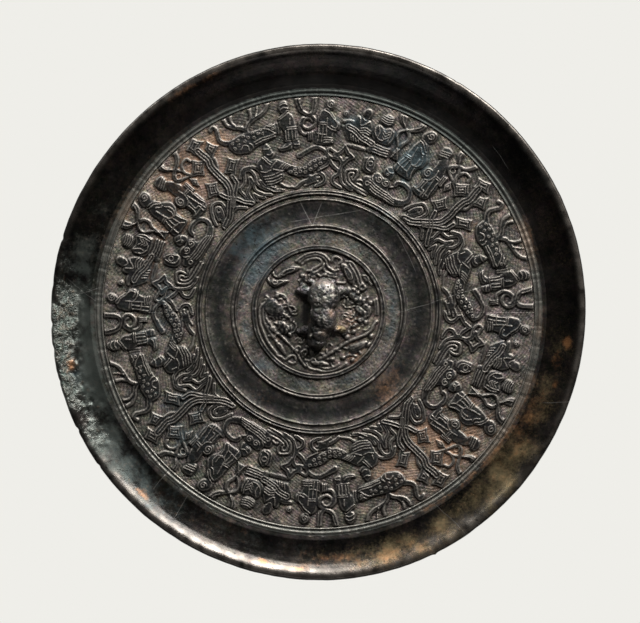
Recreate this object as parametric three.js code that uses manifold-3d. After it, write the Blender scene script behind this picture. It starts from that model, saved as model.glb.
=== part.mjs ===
// An ancient cast bronze mirror, lying with its polished face down and its figured back up.
// Millimetres. The origin is the centre of the polished face, +Z rises through the back, and
// +Y is the direction that the crouching beast's tail end points to.
// The back, from the middle out: a beast-shaped cord knob among scrolling dragons, two raised
// rings with a plain zone between them, a smooth dished channel, a third ring, a broad band
// that repeats one set of trees, cats and robed people four times, and a high curved rim.

import * as THREE from 'three';
import { mergeVertices } from 'three/addons/utils/BufferGeometryUtils.js';
import Module from 'manifold-3d';

const wasm = await Module();
wasm.setup();

// Driving sizes of the casting
const RIM_RADIUS = 92.5;
const RIM_HEIGHT = 6.2;
const EDGE_ROUNDING = 0.7;
const FACE_EDGE_RADIUS = 91.9;
const FIELD_HEIGHT = 2.0;
const GROUND_HEIGHT = 2.2;
const RING_HEIGHT = 3.1;
const CHANNEL_HEIGHT = 1.9;
const AROUND = 54;

// Mean radii of the raised rings and of the zones between them
const INNER_RING = 22.4;
const SECOND_RING = 29.2;
const CHANNEL_MIDDLE = 35.0;
const THIRD_RING = 41.8;
const BAND_INNER = 43.0;
const BAND_OUTER = 74.5;
const BORDER_OUTER = 78.5;
const RIM_VALLEY = 81.6;
const RIM_LIP = 91.0;

// The rim is a little out of round: [waves in a turn, height of the wave, angle of a crest]
const OUT_OF_ROUND = [[2, 0.34, 56], [3, 0.21, -59], [4, 0.15, 13]];
const TRUE_INSIDE = 74.0;

// Relief on the ground: how far it stands up, and how far it is rooted in the plate
const RELIEF = 0.75;
const LOW_RELIEF = 0.45;
const ROOT = 0.5;
const BOSS_SIDES = 6;
const HEAD_HALF_WIDTH = 1.5;
const HEAD_HALF_HEIGHT = 2.0;
const QUARTER = 90;
const QUARTERS = [0, 1, 2, 3];

// The knob and the cord hole that runs through it along X
const KNOB_TOP = 10.4;
const BODY_FULLNESS = 0.65;
const HOLE_HALF_WIDTH = 3.7;
const HOLE_FLOOR = FIELD_HEIGHT;
const HOLE_SPRING = 4.7;
const HOLE_CROWN = 7.4;
const HOLE_REACH = 14;
const HOLE_ARCH_STEPS = 6;

// The beast's four paws: their middles on the field, and their half lengths
const PAW_MIDDLES = [[-6.2, 6.2], [8.0, 7.2], [8.2, -4.6], [-6.2, -6.2]];
const PAW_HALF = [2.0, 1.7, 1.6];

// Corners closer than this are one corner
const WELD = 1e-4;

const rad = THREE.MathUtils.degToRad;

// A closed geometry as a solid: only positions count, and slivers at a pole are dropped.
function solid(geometry) {
  geometry.deleteAttribute('normal');
  geometry.deleteAttribute('uv');
  const merged = mergeVertices(geometry, WELD);
  const corners = merged.index.array;
  const kept = [];
  for (let i = 0; i < corners.length; i += 3) {
    const [a, b, c] = [corners[i], corners[i + 1], corners[i + 2]];
    if (a !== b && b !== c && c !== a) kept.push(a, b, c);
  }
  return new wasm.Manifold(new wasm.Mesh({
    numProp: 3,
    vertProperties: Float32Array.from(merged.attributes.position.array),
    triVerts: Uint32Array.from(kept),
  }));
}

function geometryOf(body) {
  const mesh = body.getMesh();
  const geometry = new THREE.BufferGeometry();
  geometry.setAttribute('position', new THREE.BufferAttribute(mesh.vertProperties, 3));
  geometry.setIndex(new THREE.BufferAttribute(mesh.triVerts, 1));
  geometry.computeVertexNormals();
  return geometry;
}

// A place on the back, by its clock angle in degrees from +Y and its distance from the centre.
function place(angle, radius) {
  return new THREE.Vector2(radius * Math.sin(rad(angle)), radius * Math.cos(rad(angle)));
}

function places(pairs) {
  return pairs.map(([angle, radius]) => place(angle, radius));
}

// A raised plate with the given outline.
function plate(outline, height = RELIEF, base = GROUND_HEIGHT) {
  const facing = THREE.ShapeUtils.isClockWise(outline) ? [...outline].reverse() : outline;
  const geometry = new THREE.ExtrudeGeometry(new THREE.Shape(facing), {
    depth: height + ROOT,
    bevelEnabled: false,
  });
  geometry.translate(0, 0, base - ROOT);
  return solid(geometry);
}

// A raised strip that follows a smooth line and may taper to its end.
function strip(route, width, endWidth = width, steps = 4, height = RELIEF, base = GROUND_HEIGHT) {
  const line = new THREE.SplineCurve(route);
  const left = [];
  const right = [];
  for (let i = 0; i <= steps; i += 1) {
    const along = i / steps;
    const point = line.getPoint(along);
    const half = THREE.MathUtils.lerp(width, endWidth, along) / 2;
    const side = line.getTangent(along).rotateAround(new THREE.Vector2(), Math.PI / 2);
    left.push(point.clone().addScaledVector(side, half));
    right.push(point.clone().addScaledVector(side, -half));
  }
  return plate([...left, ...right.reverse()], height, base);
}

// A round or oval boss, by its middle and its half lengths across and along the radius.
function boss(angle, radius, across, along) {
  const middle = place(angle, radius);
  const outline = [];
  for (let i = 0; i < BOSS_SIDES; i += 1) {
    const turn = (2 * Math.PI * i) / BOSS_SIDES;
    const offset = new THREE.Vector2(across * Math.cos(turn), along * Math.sin(turn));
    outline.push(middle.clone().add(offset.rotateAround(new THREE.Vector2(), -rad(angle))));
  }
  return plate(outline);
}

// A leaf of the diamond trees: a lozenge with its corners on the two axes.
function leaf(angle, radius, across, along, lean = 0) {
  const middle = place(angle, radius);
  const corners = [[across, 0], [0, along], [-across, 0], [0, -along]];
  return plate(corners.map(([x, y]) => new THREE.Vector2(x, y)
    .rotateAround(new THREE.Vector2(), rad(lean - angle)).add(middle)));
}

// Robed people: a skirt, a narrower waist, sloping shoulders and a plain round head.
function robedFigure({ at, foot, waist, shoulder, head, skirt, belt, chest }) {
  const robe = [
    [at - skirt, foot], [at - belt, waist], [at - chest, shoulder - 1],
    [at + chest, shoulder - 1], [at + belt, waist], [at + skirt, foot],
  ];
  return [plate(places(robe)), boss(at, head, HEAD_HALF_WIDTH, HEAD_HALF_HEIGHT)];
}

const UPPER_PEOPLE = [
  { at: 2.4, foot: 58.2, waist: 64.3, shoulder: 69.6, head: 71.2, skirt: 2.6, belt: 1.6, chest: 1.5 },
  { at: 12.8, foot: 61.4, waist: 64.0, shoulder: 69.2, head: 71.2, skirt: 2.3, belt: 2.1, chest: 1.3 },
  { at: 20.5, foot: 60.0, waist: 63.5, shoulder: 69.0, head: 70.8, skirt: 3.2, belt: 3.0, chest: 1.8 },
  { at: 32.2, foot: 55.6, waist: 61.8, shoulder: 69.0, head: 71.0, skirt: 2.9, belt: 2.2, chest: 1.6 },
  { at: 40.6, foot: 54.0, waist: 61.0, shoulder: 68.0, head: 69.8, skirt: 2.5, belt: 1.9, chest: 1.3 },
  { at: 80.8, foot: 57.0, waist: 64.4, shoulder: 69.7, head: 71.6, skirt: 2.6, belt: 1.9, chest: 1.7 },
];

// Wide sleeves that hang beside the robes: [angle, radius, half width, half height]
const SLEEVES = [[4.9, 65.0, 1.9, 2.4], [35.3, 63.6, 1.7, 2.3], [38.4, 61.2, 1.8, 2.2]];

// Plants with an upward fork and a pear-shaped vase below it, by their angle.
function forkedPlant(at, node, foot) {
  const waist = THREE.MathUtils.lerp(foot, node, 0.3);
  const belly = THREE.MathUtils.lerp(foot, node, 0.65);
  return [
    strip(places([[at - 3.4, 73.6], [at - 2.6, 71.2], [at, node - 0.4]]), 1.9, 1.2, 2),
    strip(places([[at + 3.4, 73.6], [at + 2.6, 71.4], [at, node - 0.4]]), 1.6, 1.2, 2),
    plate(places([[at - 1.3, foot], [at - 0.5, waist], [at - 1.8, belly], [at, node],
      [at + 1.8, belly], [at + 0.5, waist], [at + 1.3, foot]])),
  ];
}

// The tall tree: a trunk that sweeps up from the inner ring and carries lozenge leaves.
function diamondTree() {
  return [
    strip(places([[50.8, 45.4], [54.8, 48.6], [57.7, 52.4], [56.6, 56.2], [54.5, 61], [53.9, 70.5]]),
      2.6, 1.4, 7),
    leaf(54.0, 72.0, 1.9, 1.9),
    leaf(50.6, 63.1, 2.6, 3.0),
    leaf(57.3, 64.9, 2.6, 2.9),
    leaf(61.2, 58.2, 3.2, 3.3),
    leaf(48.6, 52.6, 3.4, 3.4),
    leaf(61.6, 50.8, 4.2, 2.8),
    strip(places([[62.4, 49.0], [64.4, 45.6], [70.5, 43.8]]), 2.6, 1.6, 3),
    strip(places([[53.6, 46.6], [57.6, 45.2], [61.6, 43.6]]), 1.2, 0.9, 2),
  ];
}

// The low tree: two stars whose stems spread into bells along the inner ring.
function starTree() {
  return [
    plate(places([[10.9, 58.4], [12.0, 55.8], [14.0, 54.9], [11.8, 53.8], [10.4, 51.6], [9.2, 53.6],
      [6.6, 55.0], [9.2, 56.0]])),
    plate(places([[5.0, 52.7], [6.3, 50.8], [8.6, 49.6], [6.6, 48.4], [5.0, 46.4], [3.6, 48.2],
      [1.6, 49.2], [3.7, 50.9]])),
    strip(places([[10.2, 52.4], [9.8, 48.8], [11.0, 45.8], [14.6, 43.8]]), 1.5, 1.1),
    strip(places([[3.8, 47.8], [3.4, 45.6], [0.4, 43.6]]), 1.2, 1.0, 2),
    strip(places([[6.2, 47.8], [6.8, 45.6], [9.8, 43.6]]), 1.2, 1.0, 2),
    leaf(14.0, 48.6, 2.9, 1.9, -12),
    strip(places([[11.4, 47.6], [14.0, 45.4], [19.6, 43.8]]), 1.4, 1.0, 3),
  ];
}

// The long beast of the low register, whose tail closes into a ring over its back.
function ringTailedBeast() {
  return [
    plate(places([[18.8, 52.4], [19.6, 47.4], [26.0, 45.2], [33.0, 44.6], [38.4, 46.0],
      [31.0, 48.2], [29.6, 51.6], [23.2, 51.8]])),
    boss(27.6, 53.8, 2.3, 2.4),
    boss(19.6, 53.4, 2.0, 2.0),
    strip(places([[37.4, 46.4], [39.2, 49.2], [36.6, 51.8], [32.2, 51.8]]), 1.8, 1.5),
  ];
}

// The cat of the upper register, with its tail up behind it, and the forked branch above.
function upperCat() {
  return [
    plate(places([[61.8, 66.4], [69.0, 67.1], [76.6, 66.8], [77.3, 64.6], [75.8, 62.2],
      [70.0, 61.2], [65.0, 60.4], [61.8, 63.2]])),
    strip(places([[62.4, 65.6], [60.3, 67.2], [60.4, 70.8], [59.4, 73.2]]), 1.6, 1.3, 3),
    strip(places([[68.2, 68.0], [64.8, 70.6], [63.8, 73.8]]), 1.4, 1.8, 2),
    strip(places([[68.2, 68.0], [72.6, 71.0], [76.0, 73.8]]), 1.4, 1.4, 2),
  ];
}

// The seated keeper of the low register, with arms held out to the spotted cat.
function keeperAndCat() {
  return [
    plate(places([[66.9, 53.4], [68.8, 56.6], [71.6, 57.0], [74.0, 55.0], [80.4, 51.4],
      [78.6, 49.6], [74.6, 46.6], [68.4, 46.8]])),
    boss(72.6, 57.8, 1.6, 2.4),
    plate(places([[78.4, 50.2], [84.0, 51.0], [88.8, 53.7], [92.6, 54.2], [93.4, 52.2], [90.0, 50.0],
      [86.0, 48.2], [78.4, 48.2]])),
    strip(places([[92.0, 53.8], [90.4, 56.4], [86.8, 56.6], [83.2, 54.6]]), 1.4, 1.7, 3),
    strip(places([[80.4, 43.9], [83.6, 45.6], [88.2, 46.6]]), 1.3, 1.6, 2),
  ];
}

// The slanting zither and the low seat beside it.
function zitherAndSeat() {
  return [
    plate(places([[7.4, 65.0], [17.6, 61.4], [17.4, 60.2], [8.6, 60.8]]), LOW_RELIEF),
    plate(places([[16.8, 60.8], [24.0, 61.0], [24.2, 58.0], [17.0, 57.6]]), LOW_RELIEF),
  ];
}

function bandQuarter() {
  return [
    ...UPPER_PEOPLE.flatMap(robedFigure),
    ...SLEEVES.map(([angle, radius, across, along]) => boss(angle, radius, across, along)),
    ...forkedPlant(26.6, 69.9, 59.0),
    ...forkedPlant(44.8, 69.4, 60.4),
    ...forkedPlant(87.0, 68.4, 59.4),
    ...diamondTree(),
    ...starTree(),
    ...ringTailedBeast(),
    ...upperCat(),
    ...keeperAndCat(),
    ...zitherAndSeat(),
  ];
}

// The turned plate: polished face below, rings, dished channel, band and curved rim above.
function turnedPlate() {
  const profile = [
    [0, 0], [FACE_EDGE_RADIUS, 0], [RIM_RADIUS, EDGE_ROUNDING],
    [RIM_RADIUS, RIM_HEIGHT - EDGE_ROUNDING],
    [RIM_LIP, RIM_HEIGHT], [87.4, 4.6], [RIM_VALLEY, 3.1], [BORDER_OUTER, 3.4], [77.2, 2.8],
    [75.5, 2.8], [75.0, RING_HEIGHT], [BAND_OUTER, GROUND_HEIGHT], [BAND_INNER, GROUND_HEIGHT],
    [THIRD_RING + 0.6, RING_HEIGHT], [THIRD_RING - 0.6, RING_HEIGHT], [40.2, CHANNEL_HEIGHT],
    [38.9, 2.7], [CHANNEL_MIDDLE, CHANNEL_HEIGHT], [31.3, 2.8], [SECOND_RING + 1.2, 2.3],
    [SECOND_RING, RING_HEIGHT], [28.1, GROUND_HEIGHT], [23.6, GROUND_HEIGHT],
    [INNER_RING, RING_HEIGHT], [21.3, FIELD_HEIGHT], [0, FIELD_HEIGHT],
  ].map(([radius, height]) => new THREE.Vector2(radius, height));
  const geometry = new THREE.LatheGeometry(profile, AROUND);
  geometry.rotateX(Math.PI / 2);
  const position = geometry.attributes.position;
  for (let i = 0; i < position.count; i += 1) {
    const x = position.getX(i);
    const y = position.getY(i);
    const radius = Math.hypot(x, y);
    const turn = Math.atan2(y, x);
    const share = Math.max(0, (radius - TRUE_INSIDE) / (RIM_RADIUS - TRUE_INSIDE));
    const swell = OUT_OF_ROUND.reduce(
      (sum, [waves, height, crest]) => sum + height * Math.cos(waves * (turn - rad(crest))), 0);
    const scale = radius > 0 ? 1 + (share * swell) / radius : 1;
    position.setXY(i, x * scale, y * scale);
  }
  return solid(geometry);
}

// A rounded mass of the beast that swells out of the field, by its middle and its three half
// lengths, on a short root inside the plate. Below 1, fullness squares its section up.
function mass(x, y, halfX, halfY, halfZ, around = 12, rows = 5, fullness = 1) {
  const profile = [new THREE.Vector2(0, -ROOT / halfZ), new THREE.Vector2(1, -ROOT / halfZ)];
  for (let i = 0; i <= rows; i += 1) {
    const rise = (Math.PI / 2) * (i / rows);
    const reach = i < rows ? Math.cos(rise) ** fullness : 0;
    profile.push(new THREE.Vector2(reach, Math.sin(rise) ** fullness));
  }
  const geometry = new THREE.LatheGeometry(profile, around);
  geometry.rotateX(Math.PI / 2);
  geometry.scale(halfX, halfY, halfZ);
  geometry.translate(x, y, FIELD_HEIGHT);
  return solid(geometry);
}

// The hole for the cord: straight sides, an arched crown, open on both sides of the beast.
function cordHole() {
  const outline = [new THREE.Vector2(-HOLE_HALF_WIDTH, HOLE_FLOOR)];
  outline.push(new THREE.Vector2(HOLE_HALF_WIDTH, HOLE_FLOOR));
  for (let i = 0; i <= HOLE_ARCH_STEPS; i += 1) {
    const turn = (Math.PI * i) / HOLE_ARCH_STEPS;
    outline.push(new THREE.Vector2(HOLE_HALF_WIDTH * Math.cos(turn),
      HOLE_SPRING + (HOLE_CROWN - HOLE_SPRING) * Math.sin(turn)));
  }
  const geometry = new THREE.ExtrudeGeometry(new THREE.Shape(outline), {
    depth: 2 * HOLE_REACH,
    bevelEnabled: false,
  });
  geometry.translate(0, 0, -HOLE_REACH);
  geometry.rotateX(Math.PI / 2);
  geometry.rotateZ(Math.PI / 2);
  return solid(geometry);
}

// The crouching beast: haunches, chest, head and four paws, arched over the cord hole.
function beastKnob() {
  const bodyDepth = KNOB_TOP - FIELD_HEIGHT;
  const body = mass(1.9, 3.4, 5.1, 7.4, bodyDepth, 18, 7, BODY_FULLNESS)
    .add(mass(0.9, -1.6, 4.0, 8.4, bodyDepth - 0.6, 18, 7, BODY_FULLNESS));
  const paws = PAW_MIDDLES.map(([x, y]) => mass(x, y, ...PAW_HALF, 8, 3));
  const head = mass(-0.6, -9.6, 3.3, 3.2, 5.2);
  return paws.reduce((sum, paw) => sum.add(paw), body.subtract(cordHole()).add(head));
}

// Scrolling dragons round the knob: bodies as tapering strips on the small field.
function dragons() {
  const scroll = (route, width, endWidth, steps) => strip(
    route.map(([x, y]) => new THREE.Vector2(x, y)), width, endWidth, steps, RELIEF, FIELD_HEIGHT);
  return [
    scroll([[-14.8, 10.6], [-13.2, 12.6], [-9.6, 14.6], [-6.0, 18.2], [-1.0, 20.0], [3.2, 18.2]],
      2.4, 2.0, 6),
    scroll([[3.2, 18.2], [3.4, 15.6], [6.4, 14.8]], 1.6, 1.0, 2),
    scroll([[5.2, 18.6], [8.0, 16.6], [9.4, 12.4], [12.4, 10.2]], 2.2, 1.4, 3),
    scroll([[10.6, 17.4], [14.0, 13.6], [15.6, 8.8]], 1.8, 1.2, 3),
    scroll([[10.6, 6.4], [14.6, 5.0], [17.4, 1.2]], 2.8, 2.0, 3),
    scroll([[-18.4, 3.6], [-19.4, -1.4], [-17.0, -7.4], [-12.4, -13.4]], 2.4, 1.8, 4),
    scroll([[-17.6, 4.4], [-14.4, 4.8], [-12.2, 1.0], [-11.0, -2.6]], 2.6, 1.4, 4),
    scroll([[-12.0, -9.6], [-8.6, -14.4], [-5.6, -18.6]], 1.4, 1.0, 2),
    scroll([[-4.0, -19.4], [1.0, -20.4], [6.4, -19.0], [10.6, -15.8]], 1.6, 1.4, 4),
    scroll([[2.0, -16.4], [7.0, -13.6], [10.4, -10.0], [17.6, -6.4]], 1.8, 1.3, 4),
    scroll([[11.0, -12.6], [14.4, -11.0], [16.6, -12.6]], 2.2, 1.6, 2),
  ];
}

function bronzeMirror() {
  const inward = [turnedPlate(), beastKnob(), ...dragons()];
  const quarter = bandQuarter();
  const band = QUARTERS.flatMap((k) => quarter.map((raised) => raised.rotate([0, 0, -k * QUARTER])));
  const whole = [...inward, ...band].reduce((sum, raised) => sum.add(raised));
  const patinatedBronze = new THREE.MeshStandardMaterial({
    color: 0x4a4038,
    roughness: 0.45,
    metalness: 0.8,
  });
  const mesh = new THREE.Mesh(geometryOf(whole), patinatedBronze);
  mesh.name = 'bronze_mirror';
  return mesh;
}

const mirror = new THREE.Group();
mirror.add(bronzeMirror());

export default mirror;
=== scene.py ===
# An ancient cast bronze mirror, lying face down, with its figured back up.
# Lengths in the relief are in millimetres and turned into metres when a mesh is made.
# Places on the back are (clock angle in degrees from +Y, distance from the centre in mm).

import math

import bmesh
import bpy
import numpy as np
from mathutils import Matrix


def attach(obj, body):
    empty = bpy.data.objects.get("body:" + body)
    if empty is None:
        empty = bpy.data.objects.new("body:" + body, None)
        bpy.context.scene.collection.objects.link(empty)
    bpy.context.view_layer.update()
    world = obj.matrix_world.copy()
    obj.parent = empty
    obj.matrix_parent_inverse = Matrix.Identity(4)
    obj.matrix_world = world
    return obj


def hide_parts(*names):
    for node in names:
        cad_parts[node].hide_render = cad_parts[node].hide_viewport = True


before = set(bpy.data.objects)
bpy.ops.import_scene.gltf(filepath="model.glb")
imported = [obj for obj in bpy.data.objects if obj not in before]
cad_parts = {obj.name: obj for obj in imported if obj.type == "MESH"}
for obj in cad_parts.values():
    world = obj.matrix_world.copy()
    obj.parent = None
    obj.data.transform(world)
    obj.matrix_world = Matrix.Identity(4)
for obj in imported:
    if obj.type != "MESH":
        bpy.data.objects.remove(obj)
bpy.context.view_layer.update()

MM = 0.001
ROOT_BODY = "root"
CAST_NODE = "bronze_mirror"

# ---------------------------------------------------------------- driving sizes of the casting

RIM_RADIUS = 92.5
TRAY_FLOOR = 0.5
GROUND = 2.2
FIELD = 2.0
FIELD_EDGE = 21.3
BAND_INNER = 42.9
BAND_OUTER = 74.6
FACE_EDGE = 91.9

# Turned profile of the back, from the field out to the lip: (radius, height)
TURNED_PROFILE = [
    (0.0, 2.0), (21.2, 2.0), (21.45, 2.1), (21.7, 2.85), (21.95, 2.95), (22.3, 2.8), (22.6, 2.8), (22.85, 2.9),
    (23.05, 2.75), (23.3, 2.1), (28.1, 2.12), (28.35, 2.25), (28.6, 2.9), (28.85, 2.95), (29.1, 2.6),
    (29.35, 2.55), (29.6, 3.05), (29.95, 3.15), (30.25, 3.0), (30.5, 2.3), (31.0, 2.2), (33.0, 2.1), (35.0, 2.0),
    (36.8, 2.1), (38.4, 2.35), (38.9, 2.75), (39.15, 2.75), (39.4, 2.3), (40.2, 2.2), (40.5, 2.3), (40.75, 2.95),
    (41.0, 3.1), (41.3, 2.8), (41.6, 2.8), (41.85, 3.1), (42.15, 3.0), (42.45, 2.35), (42.9, 2.2), (74.6, 2.2),
    (74.8, 2.58), (75.1, 2.62), (75.4, 2.34), (75.9, 2.34), (76.15, 2.62), (76.6, 2.7), (77.0, 2.52),
    (77.7, 2.58), (78.6, 2.76), (79.2, 2.82), (80.0, 2.86), (81.2, 2.95), (83.0, 3.25),
    (85.0, 3.8), (87.0, 4.5), (88.6, 5.25), (89.8, 5.9), (90.7, 6.25), (91.5, 6.3),
]

# The rim is a little out of round: (waves in a turn, height of the wave, angle of a crest)
OUT_OF_ROUND = [(2, 0.34, 56), (3, 0.21, -59), (4, 0.15, 13)]
TRUE_INSIDE = 74.6

# The band repeats one set of figures four times, each set at its own clock angle
SET_ANGLES = [-0.5, 91.0, 180.2, 270.0]

rng = np.random.default_rng(21)


# ---------------------------------------------------------------- helpers for smooth fields

def smoothstep(value):
    value = np.clip(value, 0.0, 1.0)
    return value * value * (3.0 - 2.0 * value)


def soften(field, passes):
    """Averages a polar field with its neighbours; the angle axis closes on itself."""
    for _ in range(passes):
        field = (np.roll(field, 1, axis=1) + 2.0 * field + np.roll(field, -1, axis=1)) / 4.0
        padded = np.vstack([field[:1], field, field[-1:]])
        field = (padded[:-2] + 2.0 * padded[1:-1] + padded[2:]) / 4.0
    return field


def value_noise(x, y, cell, seed):
    """Smooth noise from -1 to 1 over the plane, with lumps about one cell across."""
    draw = np.random.default_rng(seed)
    size = 257
    lattice = draw.uniform(-1.0, 1.0, (size, size))
    u = x / cell + 1000.0
    v = y / cell + 1000.0
    iu = np.floor(u).astype(int)
    iv = np.floor(v).astype(int)
    fu = smoothstep(u - iu)
    fv = smoothstep(v - iv)
    a = lattice[iu % size, iv % size]
    b = lattice[(iu + 1) % size, iv % size]
    c = lattice[iu % size, (iv + 1) % size]
    d = lattice[(iu + 1) % size, (iv + 1) % size]
    return (a * (1 - fu) + b * fu) * (1 - fv) + (c * (1 - fu) + d * fu) * fv


def layered_noise(x, y, cell, seed, layers=3):
    total = np.zeros_like(x)
    for layer in range(layers):
        total += value_noise(x, y, cell / 2 ** layer, seed + layer) / 2 ** layer
    return total / 1.6


def turned_height(radius):
    stations = np.array(TURNED_PROFILE)
    return np.interp(radius, stations[:, 0], stations[:, 1])


def rim_swell(x, y):
    """How far the casting is out of round at each place, in mm along the radius."""
    turn = np.arctan2(y, x)
    share = np.clip((np.hypot(x, y) - TRUE_INSIDE) / (RIM_RADIUS - TRUE_INSIDE), 0.0, 1.0)
    swell = sum(high * np.cos(waves * (turn - math.radians(crest)))
                for waves, high, crest in OUT_OF_ROUND)
    return share * swell


# ---------------------------------------------------------------- the carver's tools

def curve(points, steps=7):
    """A smooth line through places on the back, as places close together."""
    p = np.array(points, dtype=float)
    ends = np.vstack([2 * p[0] - p[1], p, 2 * p[-1] - p[-2]])
    t = np.linspace(0.0, 1.0, steps, endpoint=False)[:, None]
    out = []
    for k in range(len(p) - 1):
        a, b, c, d = ends[k:k + 4]
        out.append(0.5 * ((2 * b) + (c - a) * t + (2 * a - 5 * b + 4 * c - d) * t ** 2
                          + (3 * b - a - 3 * c + d) * t ** 3))
    return np.vstack(out + [p[-1:]])


def loop(points, steps=6):
    """A smooth closed line through places on the back."""
    p = np.array(points, dtype=float)
    wrapped = np.vstack([p[-1:], p, p[:2]])
    t = np.linspace(0.0, 1.0, steps, endpoint=False)[:, None]
    out = []
    for k in range(len(p)):
        a, b, c, d = wrapped[k:k + 4]
        out.append(0.5 * ((2 * b) + (c - a) * t + (2 * a - 5 * b + 4 * c - d) * t ** 2
                          + (3 * b - a - 3 * c + d) * t ** 3))
    return np.vstack(out)


def corners(points, steps=3):
    """A closed line with straight sides between places on the back."""
    p = np.array(points, dtype=float)
    nxt = np.roll(p, -1, axis=0)
    t = np.linspace(0.0, 1.0, steps, endpoint=False)[:, None]
    return np.vstack([a + (b - a) * t for a, b in zip(p, nxt)])


def oval(angle, radius, across, along, lean=0.0, count=16):
    """An oval on the back; its half widths are in mm, across and along the radius."""
    turn = np.linspace(0.0, 2 * np.pi, count, endpoint=False)
    lean = math.radians(lean)
    u = across * np.cos(turn) * math.cos(lean) - along * np.sin(turn) * math.sin(lean)
    v = across * np.cos(turn) * math.sin(lean) + along * np.sin(turn) * math.cos(lean)
    return np.column_stack([angle + np.degrees(u / radius), radius + v])


def spiral(angle, radius, size, turns=1.5, start=0.0, hand=1, squash=1.0):
    """A curl that winds in from its rim to its middle."""
    t = np.linspace(0.0, 1.0, int(14 * turns) + 2)
    turn = math.radians(start) + hand * 2 * np.pi * turns * t
    reach = size * (1.0 - 0.82 * t)
    return np.column_stack([angle + np.degrees(reach * np.cos(turn) / radius),
                            radius + squash * reach * np.sin(turn)])


def to_plane(places):
    turn = np.radians(places[:, 0])
    return np.column_stack([places[:, 1] * np.sin(turn), places[:, 1] * np.cos(turn)])


def nearest(x, y, line):
    """Distance to a line, how far along it the nearest point is, and the side it lies on."""
    a = line[:-1]
    ab = line[1:] - a
    px = x[..., None] - a[:, 0]
    py = y[..., None] - a[:, 1]
    t = np.clip((px * ab[:, 0] + py * ab[:, 1]) / np.maximum((ab ** 2).sum(1), 1e-9), 0.0, 1.0)
    dx = px - t * ab[:, 0]
    dy = py - t * ab[:, 1]
    gap = np.hypot(dx, dy)
    k = gap.argmin(axis=-1)
    pick = np.take_along_axis
    distance = pick(gap, k[..., None], -1)[..., 0]
    part = pick(t, k[..., None], -1)[..., 0]
    cross = ab[k, 0] * pick(py, k[..., None], -1)[..., 0] - ab[k, 1] * pick(px, k[..., None], -1)[..., 0]
    return distance, (k + part) / len(a), np.where(cross >= 0, 1.0, -1.0)


def inside(x, y, outline):
    """True where a place is within a closed outline."""
    ax, ay = outline[:, 0], outline[:, 1]
    bx, by = np.roll(ax, -1), np.roll(ay, -1)
    crosses = (ay > y[..., None]) != (by > y[..., None])
    safe = np.where(np.abs(by - ay) < 1e-9, 1e-9, by - ay)
    at = ax + (y[..., None] - ay) * (bx - ax) / safe
    return (crosses & (x[..., None] < at)).sum(axis=-1) % 2 == 1


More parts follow.
